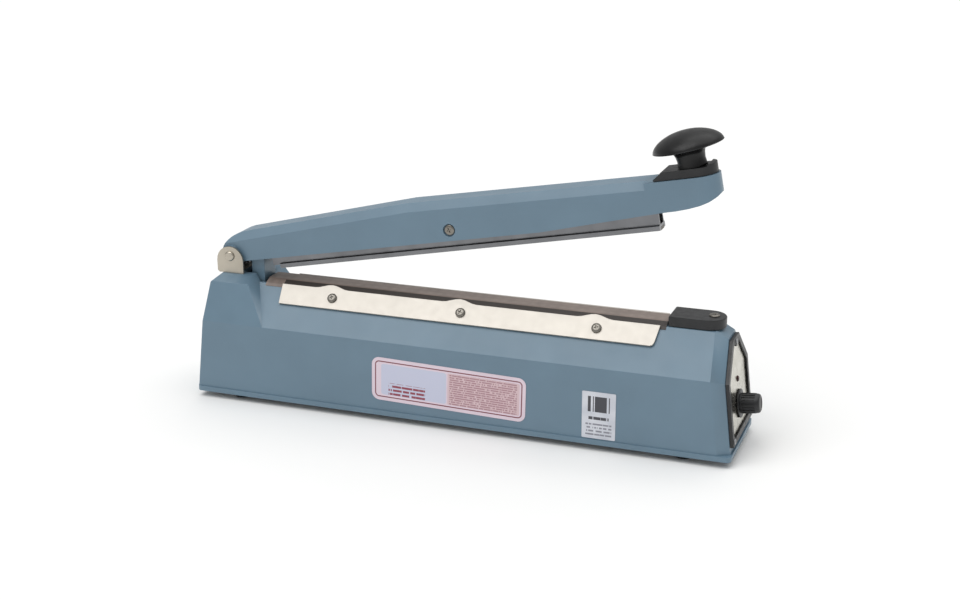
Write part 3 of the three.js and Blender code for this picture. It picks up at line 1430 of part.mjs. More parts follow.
// The origin is the middle of the box round the whole sealer, on the surface that it stands on.
const sealer = new THREE.Group();
sealer.add(base);
sealer.updateMatrixWorld(true);
const bounds = new THREE.Box3().setFromObject(base, true);
const middle = bounds.getCenter(new THREE.Vector3());
base.position.set(-middle.x, -middle.y, -bounds.min.z);

export default sealer;
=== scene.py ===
import json
import math

import bmesh
import bpy
from mathutils import Matrix, Vector


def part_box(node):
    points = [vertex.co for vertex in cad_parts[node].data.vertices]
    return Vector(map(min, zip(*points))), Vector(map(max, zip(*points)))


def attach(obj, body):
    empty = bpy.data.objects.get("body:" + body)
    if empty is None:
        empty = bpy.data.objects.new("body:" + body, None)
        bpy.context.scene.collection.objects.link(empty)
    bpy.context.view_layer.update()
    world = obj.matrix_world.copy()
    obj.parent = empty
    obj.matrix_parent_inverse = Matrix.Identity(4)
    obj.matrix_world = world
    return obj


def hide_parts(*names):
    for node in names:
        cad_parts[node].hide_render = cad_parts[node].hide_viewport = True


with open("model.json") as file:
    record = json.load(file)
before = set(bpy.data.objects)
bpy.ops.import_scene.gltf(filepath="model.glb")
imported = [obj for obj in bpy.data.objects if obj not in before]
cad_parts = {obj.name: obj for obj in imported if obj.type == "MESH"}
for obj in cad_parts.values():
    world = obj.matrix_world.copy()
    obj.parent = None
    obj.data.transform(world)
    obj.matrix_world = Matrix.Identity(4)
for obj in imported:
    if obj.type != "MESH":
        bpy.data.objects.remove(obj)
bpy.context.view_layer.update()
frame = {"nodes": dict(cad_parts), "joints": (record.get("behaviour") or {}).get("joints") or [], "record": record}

bl_info = {
    "name": "Impulse heat sealer",
    "version": (1, 0, 0),
    "blender": (4, 5, 0),
    "location": "3D View > Sidebar > Heat sealer",
    "description": "Finished pieces and finishes of a hand-operated impulse heat sealer",
    "category": "Object",
}

MM = 0.001
BODIES = frame["record"]["behaviour"]["bodies"]
BODY_OF = {node: body for body, nodes in BODIES.items() for node in nodes}
SLOT_OF = {row["node"]: row["material_slot"] for row in frame["record"]["subparts"]}
ARM_OPEN = math.radians(10.8)  # how far the press arm stands open at rest
KNOB_LEAN = math.radians(4.8)  # how far the mushroom knob leans to the hinge
POWER_STEPS = 60  # turns of the power iteration that finds a screw's axis

# Head radius, head height, shank radius and shank length of each kind of screw, in millimetres.
SCREW_KINDS = {
    "clamp_screw": (3.8, 2.0, 1.75, 8.0),
    "terminal_cover_screw": (3.9, 1.2, 1.6, 11.0),
    "bezel_screw": (2.2, 1.0, 1.3, 8.0),
    "bar_pivot_screw": (4.1, 1.4, 2.5, 25.4),
    "bracket_screw": (3.8, 2.0, 1.75, 8.0),
}
SCREW_SIDES = 32
SCREW_FIRST_TURN = 0.5  # of the recess, in radians
SCREW_TURN_STEP = 0.7  # how much further each next one is turned

# Name, where it shines from, how wide it is in degrees, and its strength.
SOFTBOXES = (
    ("key_softbox", (-0.55, -0.8, 1.6), 50, 1.25),
    ("top_softbox", (0.35, 0.5, 1.9), 70, 1.1),
)
SKY_STRENGTH = 0.5

CAMERA_AZIMUTH = math.radians(20.35)
CAMERA_ELEVATION = math.radians(17.83)
CAMERA_ROLL = math.radians(-0.23)
CAMERA_TARGET = Vector((0.0048, 0, 0.0924))
CAMERA_DISTANCE = 1.16307
CAMERA_LENS = 57.54  # mm
CAMERA_SENSOR = 36  # mm


def linear(code):
    """An sRGB hex colour as linear red, green and blue with full alpha."""
    parts = [int(code[i : i + 2], 16) / 255 for i in (0, 2, 4)]
    return tuple(c / 12.92 if c <= 0.04045 else ((c + 0.055) / 1.055) ** 2.4 for c in parts) + (1.0,)


# ---- Sizes and colours that a user can change ----


def colour(name, description, code):
    return bpy.props.FloatVectorProperty(
        name=name, description=description, subtype="COLOR", size=4, min=0, max=1, default=linear(code)
    )


def length(name, description, metres):
    return bpy.props.FloatProperty(name=name, description=description, default=metres, min=0, unit="LENGTH")


class SealerSizes(bpy.types.PropertyGroup):
    casting_round: length("Casting corner", "Radius of the rounded corners of both castings", 1.1 * MM)
    rim_round: length("Rim corner", "Radius of the corners of the base's foot rim", 0.5 * MM)
    sheet_round: length("Sheet edge", "Radius of the tumbled edges of pressed sheet", 0.25 * MM)
    moulding_round: length("Moulding corner", "Radius of the corners of plastic mouldings", 0.6 * MM)
    rib_depth: length("Rib depth", "Depth of the grip ribs round the timer knob", 0.45 * MM)
    rib_count: bpy.props.IntProperty(
        name="Ribs", description="Number of grip ribs round the timer knob", default=20, min=6
    )
    floor_span: length("Floor", "Side of the square floor that the sealer stands on", 30.0)


class SealerColours(bpy.types.PropertyGroup):
    enamel: colour("Enamel", "Blue-grey stove enamel of the base and arm", "657E8F")
    nickel: colour("Nickel", "Nickel plate of the hinge bracket", "B9B2A5")
    plate: colour("Clamp plate", "Bright nickel plate of the clamp strips", "C3BEB6")
    plastic: colour("Black plastic", "Moulded black covers and the timer knob", "1D1E20")
    knob: colour("Palm knob", "Black phenolic of the mushroom knob", "0C0C0D")
    cloth: colour("Cover sheet", "Brown PTFE-coated glass cloth", "7F7169")
    aluminium: colour("Aluminium", "Mill-finish extrusion", "7E7F82")
    label: colour("Rating label", "Ground colour of the rating label", "DCCBD6")
    print: colour("Label print", "Red ink on the rating label", "7A3A45")
    floor: colour("Floor", "Plain pale floor", "F4F4F3")


# ---- Nodes ----


def add_node(tree, kind, settings=None, inputs=None):
    """Adds a node, sets its properties, then fills its sockets with values or links."""
    made = tree.nodes.new(kind)
    for name, value in (settings or {}).items():
        setattr(made, name, value)
    for key, value in (inputs or {}).items():
        if isinstance(value, bpy.types.NodeSocket):
            tree.links.new(value, made.inputs[key])
        else:
            made.inputs[key].default_value = value
    return made


def start_finish(name, shader_values):
    """A new material with one Principled shader, and the piece's own coordinates in metres."""
    material = bpy.data.materials.new(name)
    material.use_nodes = True
    tree = material.node_tree
    tree.nodes.clear()
    shader = add_node(tree, "ShaderNodeBsdfPrincipled", None, shader_values)
    add_node(tree, "ShaderNodeOutputMaterial", None, {"Surface": shader.outputs["BSDF"]})
    place = add_node(tree, "ShaderNodeTexCoord").outputs["Object"]
    return material, tree, shader, place


def patches(tree, place, size_mm, dark, light, detail=3.0):
    """A colour that drifts between two shades, over patches of a size."""
    cloud = add_node(
        tree, "ShaderNodeTexNoise", None, {"Vector": place, "Scale": 1000 / size_mm, "Detail": detail}
    )
    ramp = add_node(tree, "ShaderNodeMapRange", None, {"Value": cloud.outputs["Fac"], 1: 0.35, 2: 0.65})
    mix = add_node(tree, "ShaderNodeMix", {"data_type": "RGBA"}, {0: ramp.outputs[0], 6: dark, 7: light})
    return mix.outputs[2]


def uneven(tree, place, size_mm, low, high):
    """A roughness that drifts between two values, over patches of a size."""
    inputs = {"Vector": place, "Scale": 1000 / size_mm, "Detail": 4.0}
    cloud = add_node(tree, "ShaderNodeTexNoise", None, inputs)
    spread = {"Value": cloud.outputs["Fac"], 1: 0.3, 2: 0.7, 3: low, 4: high}
    return add_node(tree, "ShaderNodeMapRange", None, spread).outputs[0]


def relief(tree, place, size_mm, depth_mm, stretch=(1.0, 1.0, 1.0), turn=0.0, detail=2.0):
    """A bumpy surface. Its grains have a size, and are stretched along the piece's axes."""
    inputs = {"Vector": place, "Rotation": (0, turn, 0), "Scale": stretch}
    grain_place = add_node(tree, "ShaderNodeMapping", {"vector_type": "TEXTURE"}, inputs).outputs[0]
    inputs = {"Vector": grain_place, "Scale": 1000 / size_mm, "Detail": detail}
    grain = add_node(tree, "ShaderNodeTexNoise", None, inputs)
    inputs = {"Strength": 1.0, "Distance": depth_mm * MM, "Height": grain.outputs["Fac"]}
    return add_node(tree, "ShaderNodeBump", None, inputs).outputs["Normal"]


def shade(tone, factor):
    """A lighter or darker tone of a linear colour."""
    return tuple(min(1.0, c * factor) for c in tone[:3]) + (1.0,)


def calc(tree, operation, first, second=0.0):
    """One sum on two values or sockets."""
    return add_node(tree, "ShaderNodeMath", {"operation": operation}, {0: first, 1: second}).outputs[0]


# ---- Finishes ----


def stove_enamel(tone):
    """Stove enamel sprayed on a die casting: an even colour with a soft gloss and a faint orange peel,
    so that long flat faces keep slow, slightly broken reflections."""
    material, tree, shader, place = start_finish(
        "blue_grey_stove_enamel", {"Roughness": 0.38, "IOR": 1.5, "Coat Weight": 0.12, "Coat Roughness": 0.25}
    )
    face = patches(tree, place, 38, shade(tone, 0.965), shade(tone, 1.035))
    tree.links.new(face, shader.inputs["Base Color"])
    tree.links.new(uneven(tree, place, 16, 0.34, 0.44), shader.inputs["Roughness"])
    # Real orange peel is about 0.8 mm; 1.6 mm is the finest that shows.
    tree.links.new(relief(tree, place, 1.6, 0.018), shader.inputs["Normal"])
    return material


def nickel_plated(name, tone, roughness, brush_mm, stretch, drift=1.0):
    """Nickel plate over pressed and lightly brushed steel: a warm white metal whose highlights
    smear a little across the brushing."""
    material, tree, shader, place = start_finish(name, {"Metallic": 1.0, "Roughness": roughness})
    face = patches(tree, place, 22, shade(tone, 1 - 0.07 * drift), shade(tone, 1 + 0.03 * drift))
    tree.links.new(face, shader.inputs["Base Color"])
    low, high = roughness * (1 - 0.15 * drift), roughness * (1 + 0.25 * drift)
    tree.links.new(uneven(tree, place, 6, low, high), shader.inputs["Roughness"])
    tree.links.new(relief(tree, place, brush_mm, 0.006, stretch), shader.inputs["Normal"])
    return material


def zinc_plated():
    """Bright zinc on steel hardware: bluish grey, with a mottled, slightly dull shine."""
    material, tree, shader, place = start_finish("zinc_plated_steel", {"Metallic": 1.0, "Roughness": 0.36})
    tree.links.new(patches(tree, place, 5, linear("8E9094"), linear("B4B4B2")), shader.inputs["Base Color"])
    tree.links.new(uneven(tree, place, 3, 0.28, 0.48), shader.inputs["Roughness"])
    tree.links.new(relief(tree, place, 1.2, 0.01), shader.inputs["Normal"])
    return material


def extruded_aluminium(tone):
    """Mill-finish aluminium extrusion: pale grey, with fine die lines along its length."""
    values = {"Metallic": 1.0, "Roughness": 0.34}
    material, tree, shader, place = start_finish("mill_finish_aluminium", values)
    face = patches(tree, place, 30, shade(tone, 0.9), shade(tone, 1.04))
    tree.links.new(face, shader.inputs["Base Color"])
    tree.links.new(uneven(tree, place, 8, 0.27, 0.42), shader.inputs["Roughness"])
    # Die lines are about 0.1 mm apart; 0.7 mm is the finest that shows.
    tree.links.new(relief(tree, place, 0.7, 0.02, (90, 1, 1), -ARM_OPEN), shader.inputs["Normal"])
    return material


def woven_cloth(name, tone, thread_mm, roughness, painted_shade_band=None):
    """PTFE-coated glass cloth: a dull, waxy brown skin with the weave showing through it. A stripe of painted
    shade, from a left end on and out from a half width, darkens it where the sheet drops over the rail's side."""
    material, tree, shader, place = start_finish(name, {"Roughness": roughness, "Sheen Weight": 0.12})
    across = [
        add_node(
            tree,
            "ShaderNodeTexWave",
            {"bands_direction": axis},
            {"Vector": place, "Scale": 1000 / thread_mm / 20, "Distortion": 0.3, "Detail": 1.0},
        ).outputs["Fac"]
        for axis in ("X", "Y")
    ]
    weave = calc(tree, "MULTIPLY", across[0], across[1])
    ground = patches(tree, place, 18, shade(tone, 0.86), shade(tone, 1.12))
    inputs = {0: calc(tree, "MULTIPLY", weave, 0.35), 6: ground, 7: shade(tone, 1.5)}
    face = add_node(tree, "ShaderNodeMix", {"data_type": "RGBA"}, inputs).outputs[2]
    if painted_shade_band:
        # Painted shade: beyond a half width and from a left end on, the cloth is darkened to a sixth of its tone
        # for the shade on the rail's side.
        parts = add_node(tree, "ShaderNodeSeparateXYZ", None, {0: place})
        beyond = calc(tree, "GREATER_THAN", calc(tree, "ABSOLUTE", parts.outputs["Y"]), painted_shade_band[1])
        mask = calc(tree, "MULTIPLY", beyond, calc(tree, "GREATER_THAN", parts.outputs["X"], painted_shade_band[0]))
        face = over(tree, face, shade(tone, 0.16), mask)
    tree.links.new(face, shader.inputs["Base Color"])
    inputs = {"Strength": 0.7, "Distance": 0.05 * MM, "Height": weave}
    tree.links.new(add_node(tree, "ShaderNodeBump", None, inputs).outputs[0], shader.inputs["Normal"])
    return material


def moulded(name, tone, low, high, grain_mm, depth_mm, ior=1.5):
    """Injection-moulded plastic or rubber: one colour through, with the spark-eroded grain of its mould."""
    material, tree, shader, place = start_finish(name, {"IOR": ior})
    face = patches(tree, place, 12, shade(tone, 0.88), shade(tone, 1.12))
    tree.links.new(face, shader.inputs["Base Color"])
    tree.links.new(uneven(tree, place, 5, low, high), shader.inputs["Roughness"])
    tree.links.new(relief(tree, place, grain_mm, depth_mm), shader.inputs["Normal"])
    return material


def bare_metal(name, dark, light, roughness, grain_mm, stretch=(1.0, 1.0, 1.0)):
    """Plain metal as it leaves the mill or the winder, a little uneven in colour from handling."""
    material, tree, shader, place = start_finish(name, {"Metallic": 1.0, "Roughness": roughness})
    tree.links.new(patches(tree, place, 7, linear(dark), linear(light)), shader.inputs["Base Color"])
    tree.links.new(uneven(tree, place, 4, roughness * 0.8, roughness * 1.3), shader.inputs["Roughness"])
    tree.links.new(relief(tree, place, grain_mm, 0.03, stretch), shader.inputs["Normal"])
    return material


def on_label(tree, place, node, tilt):
    """Right and up on a label, in millimetres from its middle."""
    low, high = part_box(node)
    inputs = {"Vector": place, "Location": (low + high) / 2, "Rotation": (0, tilt, 0), "Scale": (MM, MM, MM)}
    flat = add_node(tree, "ShaderNodeMapping", {"vector_type": "TEXTURE"}, inputs).outputs[0]
    parts = add_node(tree, "ShaderNodeSeparateXYZ", None, {0: flat})
    return parts.outputs["X"], parts.outputs["Z"]


def box_distance(tree, right, up, half_wide, half_high, corner):
    """How far a point lies outside a rounded rectangle, in millimetres; negative inside."""
    beyond = [
        calc(tree, "SUBTRACT", calc(tree, "ABSOLUTE", value), half - corner)
        for value, half in ((right, half_wide), (up, half_high))
    ]
    outside = [calc(tree, "MAXIMUM", value, 0.0) for value in beyond]
    squares = [calc(tree, "MULTIPLY", value, value) for value in outside]
    radius = calc(tree, "SQRT", calc(tree, "ADD", *squares))
    inside = calc(tree, "MINIMUM", calc(tree, "MAXIMUM", *beyond), 0.0)
    return calc(tree, "SUBTRACT", calc(tree, "ADD", radius, inside), corner)


def within(tree, value, low, high):
    """1 where a value lies between two others, and 0 elsewhere."""
    above = calc(tree, "GREATER_THAN", value, low)
    return calc(tree, "MULTIPLY", above, calc(tree, "LESS_THAN", value, high))


def printed_rows(tree, right, up, area, pitch, ink, word_mm):
    """Rows of short printed bars with gaps like the gaps between words, inside an area."""
    left, right_end, bottom, top = area
    row = calc(tree, "DIVIDE", calc(tree, "SUBTRACT", up, bottom), pitch)
    number = calc(tree, "FLOOR", row)
    on_row = calc(tree, "LESS_THAN", calc(tree, "FRACT", row), ink)
    # Rows are far apart in the noise, so that no two of them have their gaps at the same places.
    row_jump = 7.3
    inputs = {0: calc(tree, "DIVIDE", right, word_mm), 1: calc(tree, "MULTIPLY", number, row_jump)}
    spot = add_node(tree, "ShaderNodeCombineXYZ", None, inputs)
    inputs = {"Vector": spot.outputs[0], "Scale": 1.0, "Detail": 3.0}
    words = add_node(tree, "ShaderNodeTexNoise", None, inputs)
    on_word = calc(tree, "GREATER_THAN", words.outputs["Fac"], 0.43)
    inside = calc(tree, "MULTIPLY", within(tree, right, left, right_end), within(tree, up, bottom, top))
    return calc(tree, "MULTIPLY", inside, calc(tree, "MULTIPLY", on_row, on_word))


def over(tree, ground, ink, mask):
    """Ink over a ground, where a mask is 1."""
    return add_node(tree, "ShaderNodeMix", {"data_type": "RGBA"}, {0: mask, 6: ground, 7: ink}).outputs[2]


def printed_label(ground_tone, ink_tone):
    """Screen-printed polyester label: a satin film with a red rule round it, a blank name panel, three
    short lines and a block of small print, all drawn as plain bars with no words in them."""
    material, tree, shader, place = start_finish("printed_polyester_label", {"Roughness": 0.32, "IOR": 1.57})
    right, up = on_label(tree, place, "front_label", math.radians(1.4))
    face = patches(tree, place, 30, shade(ground_tone, 0.97), shade(ground_tone, 1.03))
    panel = calc(
        tree,
        "LESS_THAN",
        box_distance(tree, calc(tree, "ADD", right, 27.5), up, 26.5, 12.4, 2.0),
        0.0,
    )
    face = over(tree, face, linear("C3C6DA"), panel)
    block = calc(
        tree,
        "LESS_THAN",
        box_distance(tree, calc(tree, "SUBTRACT", right, 28.5), up, 28.5, 12.6, 1.0),
        0.0,
    )
    face = over(tree, face, linear("D3B9BE"), block)
    small = printed_rows(tree, right, up, (1.5, 55.0, -12.2, 12.4), 1.75, 0.62, 1.5)
    face = over(tree, face, linear("A98189"), small)
    short = printed_rows(tree, right, up, (-48.0, -18.0, -12.0, -2.4), 3.1, 0.56, 2.4)
    face = over(tree, face, linear("8E3C4D"), short)
    rule = within(tree, box_distance(tree, right, up, 61.75, 17.2, 6.0), -3.5, -2.6)
    face = over(tree, face, ink_tone, rule)
    tree.links.new(face, shader.inputs["Base Color"])
    tree.links.new(relief(tree, place, 6, 0.01), shader.inputs["Normal"])
    return material


def printed_sticker():
    """Printed metallised-film sticker: a cool silver ground with a block of upright bars over rows of
    short ones, and no words."""
    values = {"Roughness": 0.34, "Metallic": 0.2}
    material, tree, shader, place = start_finish("printed_silver_film", values)
    right, up = on_label(tree, place, "front_sticker", 0.0)
    face = patches(tree, place, 14, linear("C6C9D2"), linear("D6D8DF"))
    upright = calc(tree, "MULTIPLY", calc(tree, "FLOOR", calc(tree, "DIVIDE", right, 0.75)), 3.7)
    spot = add_node(tree, "ShaderNodeCombineXYZ", None, {0: upright})
    inputs = {"Vector": spot.outputs[0], "Scale": 1.0, "Detail": 0.0}
    bars = add_node(tree, "ShaderNodeTexNoise", None, inputs)
    block = calc(tree, "MULTIPLY", within(tree, right, -8.25, 8.25), within(tree, up, 2.6, 14.6))
    bars = calc(tree, "MULTIPLY", calc(tree, "GREATER_THAN", bars.outputs["Fac"], 0.48), block)
    face = over(tree, face, linear("45454B"), bars)
    title = printed_rows(tree, right, up, (-7.6, 7.6, -3.4, -0.4), 3.2, 0.72, 2.6)
    face = over(tree, face, linear("4A4A50"), title)
    rows = printed_rows(tree, right, up, (-9.8, 9.8, -15.6, -5.0), 2.65, 0.5, 2.0)
    face = over(tree, face, linear("8B8C95"), rows)
    tree.links.new(face, shader.inputs["Base Color"])
    tree.links.new(relief(tree, place, 5, 0.01), shader.inputs["Normal"])
    return material


def satin_panel(timer_middle):
    """Satin-anodised aluminium panel: vertical brushing, and a scale of plain ticks round the knob."""
    values = {"Metallic": 1.0, "Roughness": 0.24}
    material, tree, shader, place = start_finish("satin_anodised_aluminium", values)
    inputs = {"Vector": place, "Location": timer_middle, "Scale": (MM, MM, MM)}
    flat = add_node(tree, "ShaderNodeMapping", {"vector_type": "TEXTURE"}, inputs).outputs[0]
    parts = add_node(tree, "ShaderNodeSeparateXYZ", None, {0: flat})
    across, up = parts.outputs["Y"], parts.outputs["Z"]
    squares = [calc(tree, "MULTIPLY", value, value) for value in (across, up)]
    reach = calc(tree, "SQRT", calc(tree, "ADD", *squares))
    turn = calc(tree, "ARCTAN2", across, up)
    step = math.radians(27)
    in_step = calc(tree, "FRACT", calc(tree, "ADD", calc(tree, "DIVIDE", turn, step), 0.5))
    near_tick = calc(tree, "ABSOLUTE", calc(tree, "SUBTRACT", in_step, 0.5))
    tick = calc(tree, "LESS_THAN", calc(tree, "MULTIPLY", near_tick, reach), 0.7)
    tick = calc(tree, "MULTIPLY", tick, within(tree, reach, 12.4, 14.8))
    tick = calc(tree, "MULTIPLY", tick, within(tree, calc(tree, "ABSOLUTE", turn), -1.0, 2.5))
    ground = patches(tree, place, 16, linear("B5B2A6"), linear("C9C6BC"))
    tree.links.new(over(tree, ground, linear("26262A"), tick), shader.inputs["Base Color"])
    tree.links.new(calc(tree, "SUBTRACT", 1.0, tick), shader.inputs["Metallic"])
    tree.links.new(uneven(tree, place, 5, 0.16, 0.3), shader.inputs["Roughness"])
    tree.links.new(relief(tree, place, 0.6, 0.01, (1, 1, 60)), shader.inputs["Normal"])
    return material


def wound_copper():
    """Enamelled copper wire wound in layers: orange-brown, with the turns as close ridges."""
    values = {"Metallic": 0.8, "Roughness": 0.35}
    material, tree, shader, place = start_finish("enamelled_copper_winding", values)
    # The wire is 0.4 mm; turns 1.2 mm apart are the finest that show.
    inputs = {"Vector": place, "Scale": 1000 / 1.2 / 20, "Distortion": 0.4}
    turns = add_node(tree, "ShaderNodeTexWave", {"bands_direction": "Z"}, inputs).outputs["Fac"]
    inputs = {0: turns, 6: linear("6E3A1C"), 7: linear("B5703A")}
    mix = add_node(tree, "ShaderNodeMix", {"data_type": "RGBA"}, inputs)
    tree.links.new(mix.outputs[2], shader.inputs["Base Color"])
    inputs = {"Strength": 0.8, "Distance": 0.3 * MM, "Height": turns}
    tree.links.new(add_node(tree, "ShaderNodeBump", None, inputs).outputs[0], shader.inputs["Normal"])
    return material


def laminated_iron():
    """A stack of varnished iron laminations: dark grey, with thin bright lines where the sheets meet."""
    values = {"Metallic": 0.6, "Roughness": 0.5}
    material, tree, shader, place = start_finish("varnished_iron_laminations", values)
    # Sheets are 0.5 mm; lines 1 mm apart are the finest that show.
    inputs = {"Vector": place, "Scale": 1000 / 1.0 / 20, "Distortion": 0.2}
    sheets = add_node(tree, "ShaderNodeTexWave", {"bands_direction": "Y"}, inputs).outputs["Fac"]
    inputs = {0: sheets, 6: linear("2E2D2C"), 7: linear("62605C")}
    mix = add_node(tree, "ShaderNodeMix", {"data_type": "RGBA"}, inputs)
    tree.links.new(mix.outputs[2], shader.inputs["Base Color"])
    inputs = {"Strength": 0.5, "Distance": 0.15 * MM, "Height": sheets}
    tree.links.new(add_node(tree, "ShaderNodeBump", None, inputs).outputs[0], shader.inputs["Normal"])
    return material


def glass_board():
    """Epoxy glass circuit board: green solder mask over a faint weave, glossy where the mask is thick."""
    material, tree, shader, place = start_finish("epoxy_glass_board", {"IOR": 1.55, "Coat Weight": 0.4})
    brick = add_node(
        tree,
        "ShaderNodeTexBrick",
        None,
        {"Vector": place, "Color1": linear("1F5B38"), "Color2": linear("2A6C45"), "Mortar": linear("3E8258"),
         "Scale": 1000 / 12, "Mortar Size": 0.03},
    )
    tree.links.new(brick.outputs["Color"], shader.inputs["Base Color"])
    tree.links.new(uneven(tree, place, 4, 0.22, 0.4), shader.inputs["Roughness"])
    tree.links.new(relief(tree, place, 1.0, 0.02), shader.inputs["Normal"])
    return material


def lamp_lens():
    """Moulded acrylic lamp lens: deep red and glossy, unlit."""
    material, tree, shader, place = start_finish(
        "red_acrylic_lens", {"Roughness": 0.12, "IOR": 1.49, "Transmission Weight": 0.3}
    )
    tree.links.new(patches(tree, place, 2, linear("2C0A08"), linear("4A100C")), shader.inputs["Base Color"])
    tree.links.new(relief(tree, place, 0.8, 0.02), shader.inputs["Normal"])
    return material


def make_finishes():
    """One material for each finish of the record, by its slot."""
    tones = bpy.context.scene.sealer_colours
    _, panel_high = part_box("control_panel")
    knob_low, knob_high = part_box("timer_knob")
    timer_middle = Vector((panel_high.x, 0, (knob_low.z + knob_high.z) / 2))
    return {
        "grey_blue_enamel": stove_enamel(tones.enamel),
        "nickel_plate": nickel_plated("brushed_nickel_plate", tones.nickel, 0.34, 0.5, (1, 1, 14)),
        "nickel_screws": nickel_plated("nickel_plated_screw", linear("85817A"), 0.3, 0.8, (1, 1, 1)),
        "clamp_nickel": nickel_plated("bright_nickel_strip", tones.plate, 0.5, 0.6, (40, 1, 1), 0.25),
        "rubber": moulded("black_rubber", linear("17171A"), 0.7, 0.9, 0.7, 0.05),
        "zinc_steel": zinc_plated(),
        "aluminium_extrusion": extruded_aluminium(tones.aluminium),
        "glass_tape": woven_cloth("tan_glass_tape", linear("B4966B"), 0.9, 0.6),
        "nichrome": bare_metal("oxidised_nichrome", "6F655C", "9A8F84", 0.4, 0.5, (40, 1, 1)),
        # The painted shade stripe on this cloth starts at the left end of the clamp strips and lies beyond 8.2 mm
        # from the middle.
        "ptfe_cloth": woven_cloth(
            "ptfe_coated_glass_cloth", tones.cloth, 1.2, 0.5, (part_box("clamp_plate_front")[0].x, 8.2 * MM)
        ),
        "black_abs": moulded("black_moulded_abs", tones.plastic, 0.34, 0.48, 0.5, 0.02),
        "black_phenolic": moulded("black_phenolic", tones.knob, 0.3, 0.42, 3.0, 0.015, 1.4),
        "brass": bare_metal("machined_brass", "8F6F38", "B9954F", 0.34, 0.5, (1, 1, 20)),
        "satin_panel": satin_panel(timer_middle),
        "lamp_lens": lamp_lens(),
        "red_acetal": moulded("red_acetal", linear("8C1D18"), 0.35, 0.5, 0.6, 0.02),
        "silicone": moulded("grey_silicone_rubber", linear("8F8A84"), 0.55, 0.75, 0.8, 0.03, 1.41),
        "core_iron": laminated_iron(),
        "copper_winding": wound_copper(),
        "circuit_board": glass_board(),
        "lead_insulation": moulded("red_silicone_sleeve", linear("8E2F28"), 0.5, 0.65, 0.9, 0.03),
        "rating_label": printed_label(tones.label, tones.print),
        "small_sticker": printed_sticker(),
    }


# ---- Modelling ----


def take(piece):
    """Makes a piece the only selected and active one, in object mode."""
    if bpy.context.mode != "OBJECT":
        bpy.ops.object.mode_set(mode="OBJECT")
    bpy.ops.object.select_all(action="DESELECT")
    piece.select_set(True)
    bpy.context.view_layer.objects.active = piece


def pick(piece, kind, test):
    """In edit mode, selects only the edges or faces that pass a test, and says how many they are."""
    bpy.ops.mesh.select_mode(type="EDGE" if kind == "edges" else "FACE")
    bpy.ops.mesh.select_all(action="DESELECT")
    mesh = bmesh.from_edit_mesh(piece.data)
    mesh.normal_update()
    found = [item for item in getattr(mesh, kind) if test(item)]
    for item in found:
        item.select_set(True)
    mesh.select_flush_mode()
    bmesh.update_edit_mesh(piece.data)
    return len(found)


def copy_of(node, name):
    """A merged copy of a CAD node, left in edit mode."""
    piece = bpy.data.objects.new(name, frame["nodes"][node].data.copy())
    bpy.context.scene.collection.objects.link(piece)
    piece.data.materials.clear()
    take(piece)
    bpy.ops.object.mode_set(mode="EDIT")
    bpy.ops.mesh.select_all(action="SELECT")
    bpy.ops.mesh.remove_doubles(threshold=0.002 * MM)
    bpy.ops.mesh.dissolve_limited(angle_limit=math.radians(0.6))
    return piece


def is_corner(edge, least_length, least_angle=18.0):
    """An outward corner that is long enough to be rounded."""
    if len(edge.link_faces) != 2 or edge.calc_length() < least_length:
        return False
    return edge.calc_face_angle_signed(0.0) > math.radians(least_angle)


def round_corners(piece, radius, segments, test):
    """Rounds the corners that pass a test."""
    if pick(piece, "edges", test):
        bpy.ops.mesh.bevel(
            offset=radius, offset_type="OFFSET", segments=segments, profile=0.5, affect="EDGES",
            clamp_overlap=True, miter_outer="SHARP",
        )


def settle(piece, node, angle=32.0):
    """Shades a piece, gives it its finish, and lets it stand for a CAD node on that node's body."""
    take(piece)
    bpy.ops.object.shade_smooth_by_angle(angle=math.radians(angle))
    even = piece.modifiers.new("even_normals", "WEIGHTED_NORMAL")
    even.keep_sharp = True
    bpy.ops.object.modifier_apply(modifier=even.name)
    slot = SLOT_OF[node]
    piece.data.materials.clear()
    piece.data.materials.append(FINISHES[slot])
    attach(piece, BODY_OF[node])
    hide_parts(node)
    return piece


def turned_piece(name, profile, sides):
    """A turned shape about Z: a disc whose face is drawn out and resized from ring to ring."""
    radius, height = profile[0]
    bpy.ops.object.select_all(action="DESELECT")
    bpy.ops.mesh.primitive_circle_add(
        vertices=sides, radius=radius, fill_type="NGON", location=(0, 0, height)
    )
    piece = bpy.context.object
    piece.name = piece.data.name = name
    bpy.ops.object.transform_apply()
    bpy.ops.object.mode_set(mode="EDIT")
    bpy.ops.mesh.select_all(action="SELECT")
    for next_radius, next_height in profile[1:]:
        bpy.ops.mesh.extrude_region_move(TRANSFORM_OT_translate={"value": (0, 0, next_height - height)})
        factor = next_radius / radius
        bpy.ops.transform.resize(value=(factor, factor, 1), center_override=(0, 0, next_height))
        radius, height = next_radius, next_height
    bpy.ops.mesh.select_all(action="SELECT")
    bpy.ops.mesh.remove_doubles(threshold=0.001 * MM)
    bpy.ops.mesh.normals_make_consistent(inside=False)
    return piece


def set_down(piece, matrix):
    """Moves a finished piece's mesh to its place, so that the object stays at the origin."""
    take(piece)
    piece.matrix_world = matrix
    bpy.ops.object.transform_apply(location=True, rotation=True, scale=True)


def screw_axis(node):
    """A screw's own frame: its middle, its axis from the tip to the head, and how far up it reaches."""
    points = [v.co.copy() for v in frame["nodes"][node].data.vertices]
    middle = sum(points, Vector()) / len(points)
    far = max(points, key=lambda p: (p - middle).length)
    axis = (far - middle).normalized()
    for _ in range(POWER_STEPS):
        axis = sum(((p - middle) * (p - middle).dot(axis) for p in points), Vector()).normalized()
    along = [(p - middle).dot(axis) for p in points]
    wide = max(points, key=lambda p: ((p - middle) - axis * (p - middle).dot(axis)).length)
    if (wide - middle).dot(axis) < (max(along) + min(along)) / 2:
        axis = -axis
        along = [-a for a in along]
    return middle, axis, max(along)


# ---- Pieces ----


